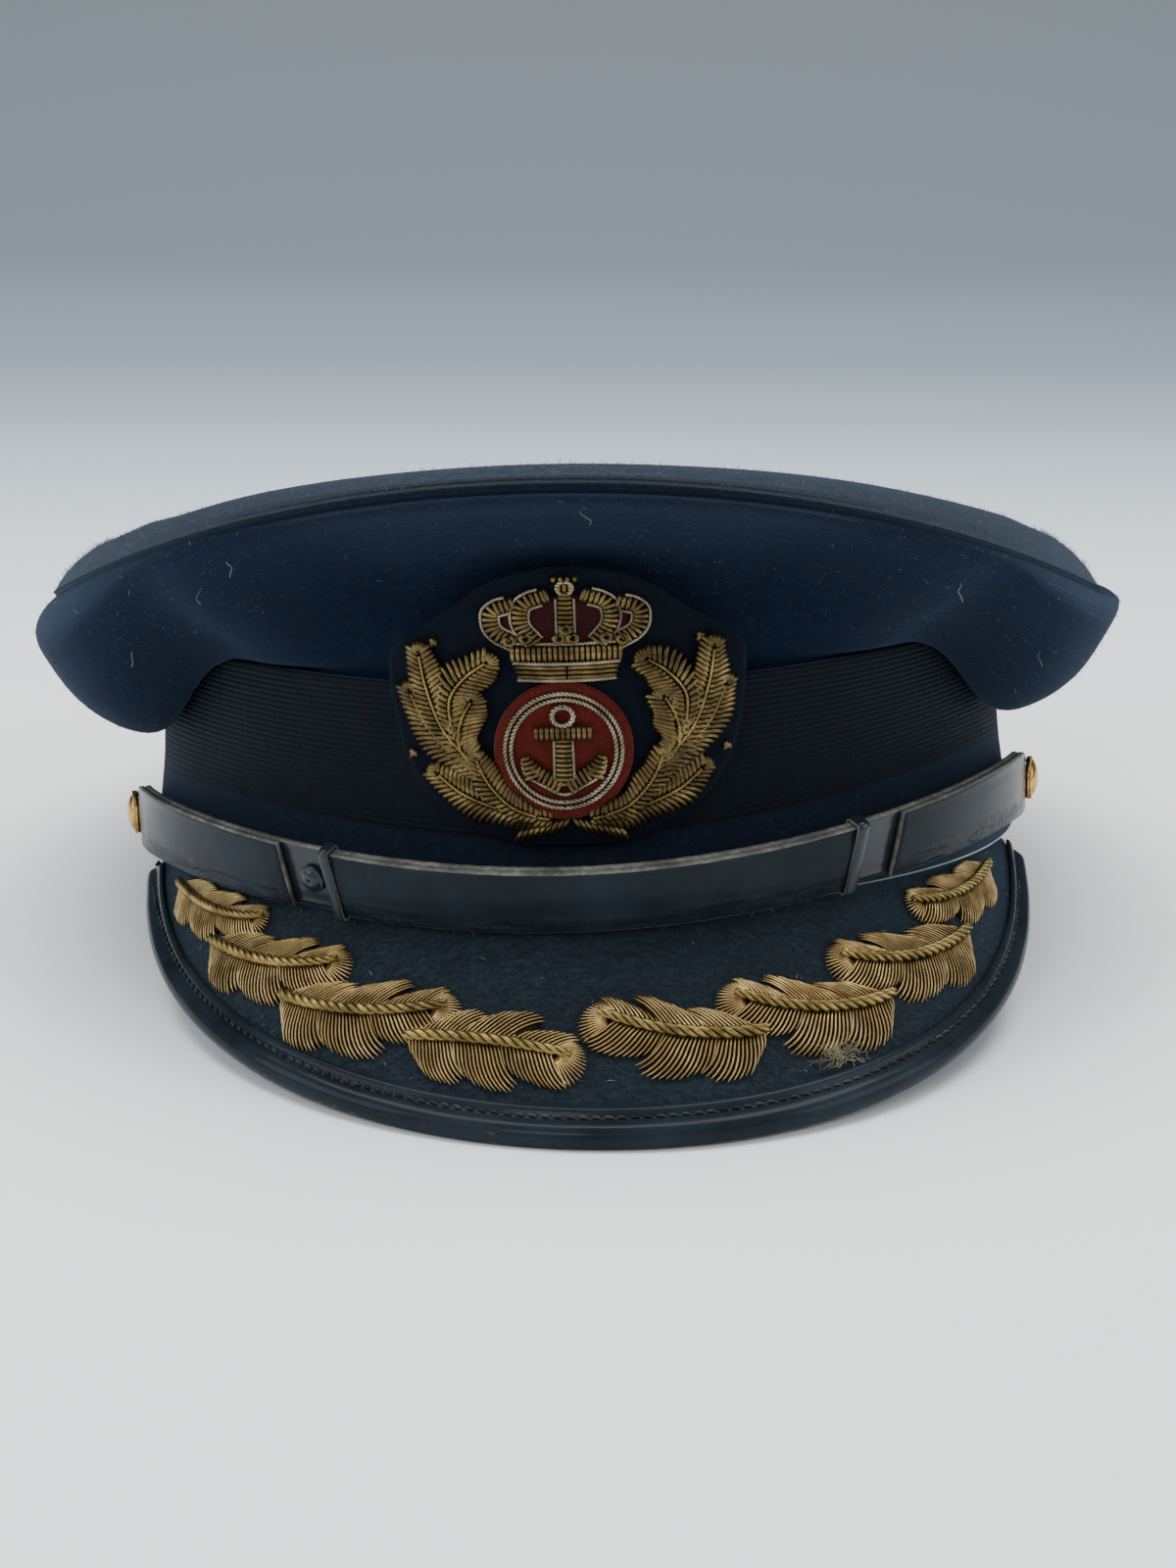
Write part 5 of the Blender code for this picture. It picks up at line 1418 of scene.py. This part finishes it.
def fibre(start, direction, length):
    points, here = [tuple(start)], Vector(start)
    way = Vector(direction).normalized()
    for _ in range(4):
        way = (way + random_way() * CURL).normalized()
        here = here + way * length / 4
        points.append(tuple(here))
    return points


# the nap fibres take the pale fuzz look: painted sheen
def make_fuzz():
    lines = []
    for _ in range(TOP_FIBRES):
        angle = chance.uniform(0, TAU)
        size = chance.choice((chance.uniform(0.90, 1.0), chance.uniform(0.3, 1.0)))
        spot = crown_top_point(angle, size)
        way = random_way(0.1, 1.0)
        lines.append((fibre(spot, way, chance.uniform(0.5, 1.3) * MM), 0.032 * MM))
    strands("wool_fuzz_top", lines, 3, "fuzz", "wool")
    lines = []
    for _ in range(SIDE_FIBRES):
        angle = chance.uniform(0, TAU)
        out, height = smooth_line(crown_section(angle), 24)[chance.randrange(8, 23)]
        spot, normal = head_oval(angle, out)
        way = normal + random_way(-1, 0.6)
        lines.append((fibre(spot + Vector((0, 0, height)), way, chance.uniform(0.4, 1.0) * MM), 0.026 * MM))
    strands("wool_fuzz_side", lines, 3, "fuzz", "wool")


def make_stray_fibres():
    lines = []
    for _ in range(STRAY_FIBRES):
        angle = math.radians(chance.uniform(-80, 80))
        out, height = smooth_line(crown_section(angle), 24)[chance.randrange(11, 23)]
        spot, normal = head_oval(angle, out + 0.25 * MM)
        side = Vector((normal.y, -normal.x, 0)) * chance.uniform(-1, 1)
        side += Vector((0, 0, chance.uniform(-1, 1)))
        lines.append((fibre(spot + Vector((0, 0, height)), side, chance.uniform(0.3, 1.3) * MM), 0.024 * MM))
    for degrees, step, length in LONG_FIBRES:
        angle = math.radians(degrees)
        path = []
        for k in range(9):
            out, height = smooth_line(crown_section(angle), 24)[step]
            path.append(tuple(wall_point(angle, out + 0.45 * MM, height + (k - 4) * length / 9 * MM)))
            angle += chance.uniform(-1, 1) * 0.9 * MM / BAND_FRONT
        lines.append((smooth_line(path, 18), 0.045 * MM))
    for _ in range(PEAK_FIBRES):
        angle = math.radians(chance.uniform(-62, 62))
        reach = visor_width(angle) * chance.uniform(0.05, 0.88)
        start = visor_point(angle, reach, 0.15 * MM)
        end = visor_point(angle + chance.uniform(-0.012, 0.012), reach + chance.uniform(-1, 1) * MM, 0.3 * MM)
        middle = (start + end) / 2 + Vector((0, 0, 0.1 * MM))
        lines.append((smooth_line([tuple(start), tuple(middle), tuple(end)], 5), 0.03 * MM))
    strands("stray_fibres", lines, 3, "pale_fibre", "wool")


# Camera, lights and floor, from the photograph's view

def make_camera():
    pitch, roll, yaw = map(math.radians, CAMERA_TURNS)
    ahead = np.array([0, math.cos(pitch), -math.sin(pitch)])
    right = np.array([1.0, 0, 0])
    up = np.cross(right, ahead)
    across = math.cos(roll) * right + math.sin(roll) * up
    upward = -math.sin(roll) * right + math.cos(roll) * up
    back = np.array([[math.cos(-yaw), -math.sin(-yaw), 0], [math.sin(-yaw), math.cos(-yaw), 0], [0, 0, 1]])
    axes = [TURN @ (back @ v) for v in (across, upward, -ahead)]
    data = bpy.data.cameras.new("camera")
    data.sensor_width = SENSOR
    data.lens = LENS
    data.clip_start = 0.02
    made = bpy.data.objects.new("camera", data)
    bpy.context.scene.collection.objects.link(made)
    matrix = made.matrix_world.copy()
    for column, axis in enumerate(axes):
        for r in range(3):
            matrix[r][column] = float(axis[r])
    where = to_row([back @ (np.array(CAMERA_PLACE) * MM)])[0]
    for r in range(3):
        matrix[r][3] = float(where[r])
    made.matrix_world = matrix
    bpy.context.scene.camera = made


def area_light(name, place, target, wide, tall, power, colour):
    data = bpy.data.lights.new(name, "AREA")
    data.shape = "RECTANGLE"
    data.size, data.size_y, data.energy, data.color = wide, tall, power, colour
    made = bpy.data.objects.new(name, data)
    made.location = place
    made.rotation_euler = (Vector(target) - Vector(place)).to_track_quat("-Z", "Y").to_euler()
    bpy.context.scene.collection.objects.link(made)


def make_stage():
    points, faces = [], []
    profile = [(FLOOR_FRONT, 0.0), (SWEEP_START, 0.0)]
    for t in np.linspace(0, math.pi / 2, 25)[1:]:
        profile.append((SWEEP_START + SWEEP_RADIUS * math.sin(t), SWEEP_RADIUS * (1 - math.cos(t))))
    profile.append((SWEEP_START + SWEEP_RADIUS, WALL_HEIGHT))
    for y, z in profile:
        points += [(-FLOOR_SIDE, y, z), (FLOOR_SIDE, y, z)]
    for i in range(len(profile) - 1):
        faces.append((2 * i, 2 * i + 1, 2 * i + 3, 2 * i + 2))
    data = bpy.data.meshes.new("floor")
    data.from_pydata(points, [], faces)
    data.materials.append(floor_look())
    data.shade_smooth()
    made = bpy.data.objects.new("floor", data)
    bpy.context.scene.collection.objects.link(made)

    world = bpy.data.worlds.new("studio")
    world.use_nodes = True
    background = world.node_tree.nodes["Background"]
    background.inputs["Color"].default_value = WORLD_COLOUR
    background.inputs["Strength"].default_value = WORLD_STRENGTH
    bpy.context.scene.world = world
    for name, row in LIGHTS.items():
        area_light(name, *row)


make_camera()
make_crown_side()
make_crown_top()
make_welt()
make_band()
make_visor()
make_binding()
make_straps()
for keeper in KEEPERS:
    make_keeper(keeper)
make_stud()
make_button("button_left", -BUTTON_ANGLE)
make_button("button_right", BUTTON_ANGLE)
make_backing()
make_medallion()
make_wreath("badge_wreath_left", -1)
make_wreath("badge_wreath_right", 1)
make_anchor()
make_ornament()
for leaf in LEAF_ROWS:
    make_leaf(leaf)
make_frayed_patch()
make_fuzz()
make_stray_fibres()
make_stage()

bpy.context.view_layer.update()
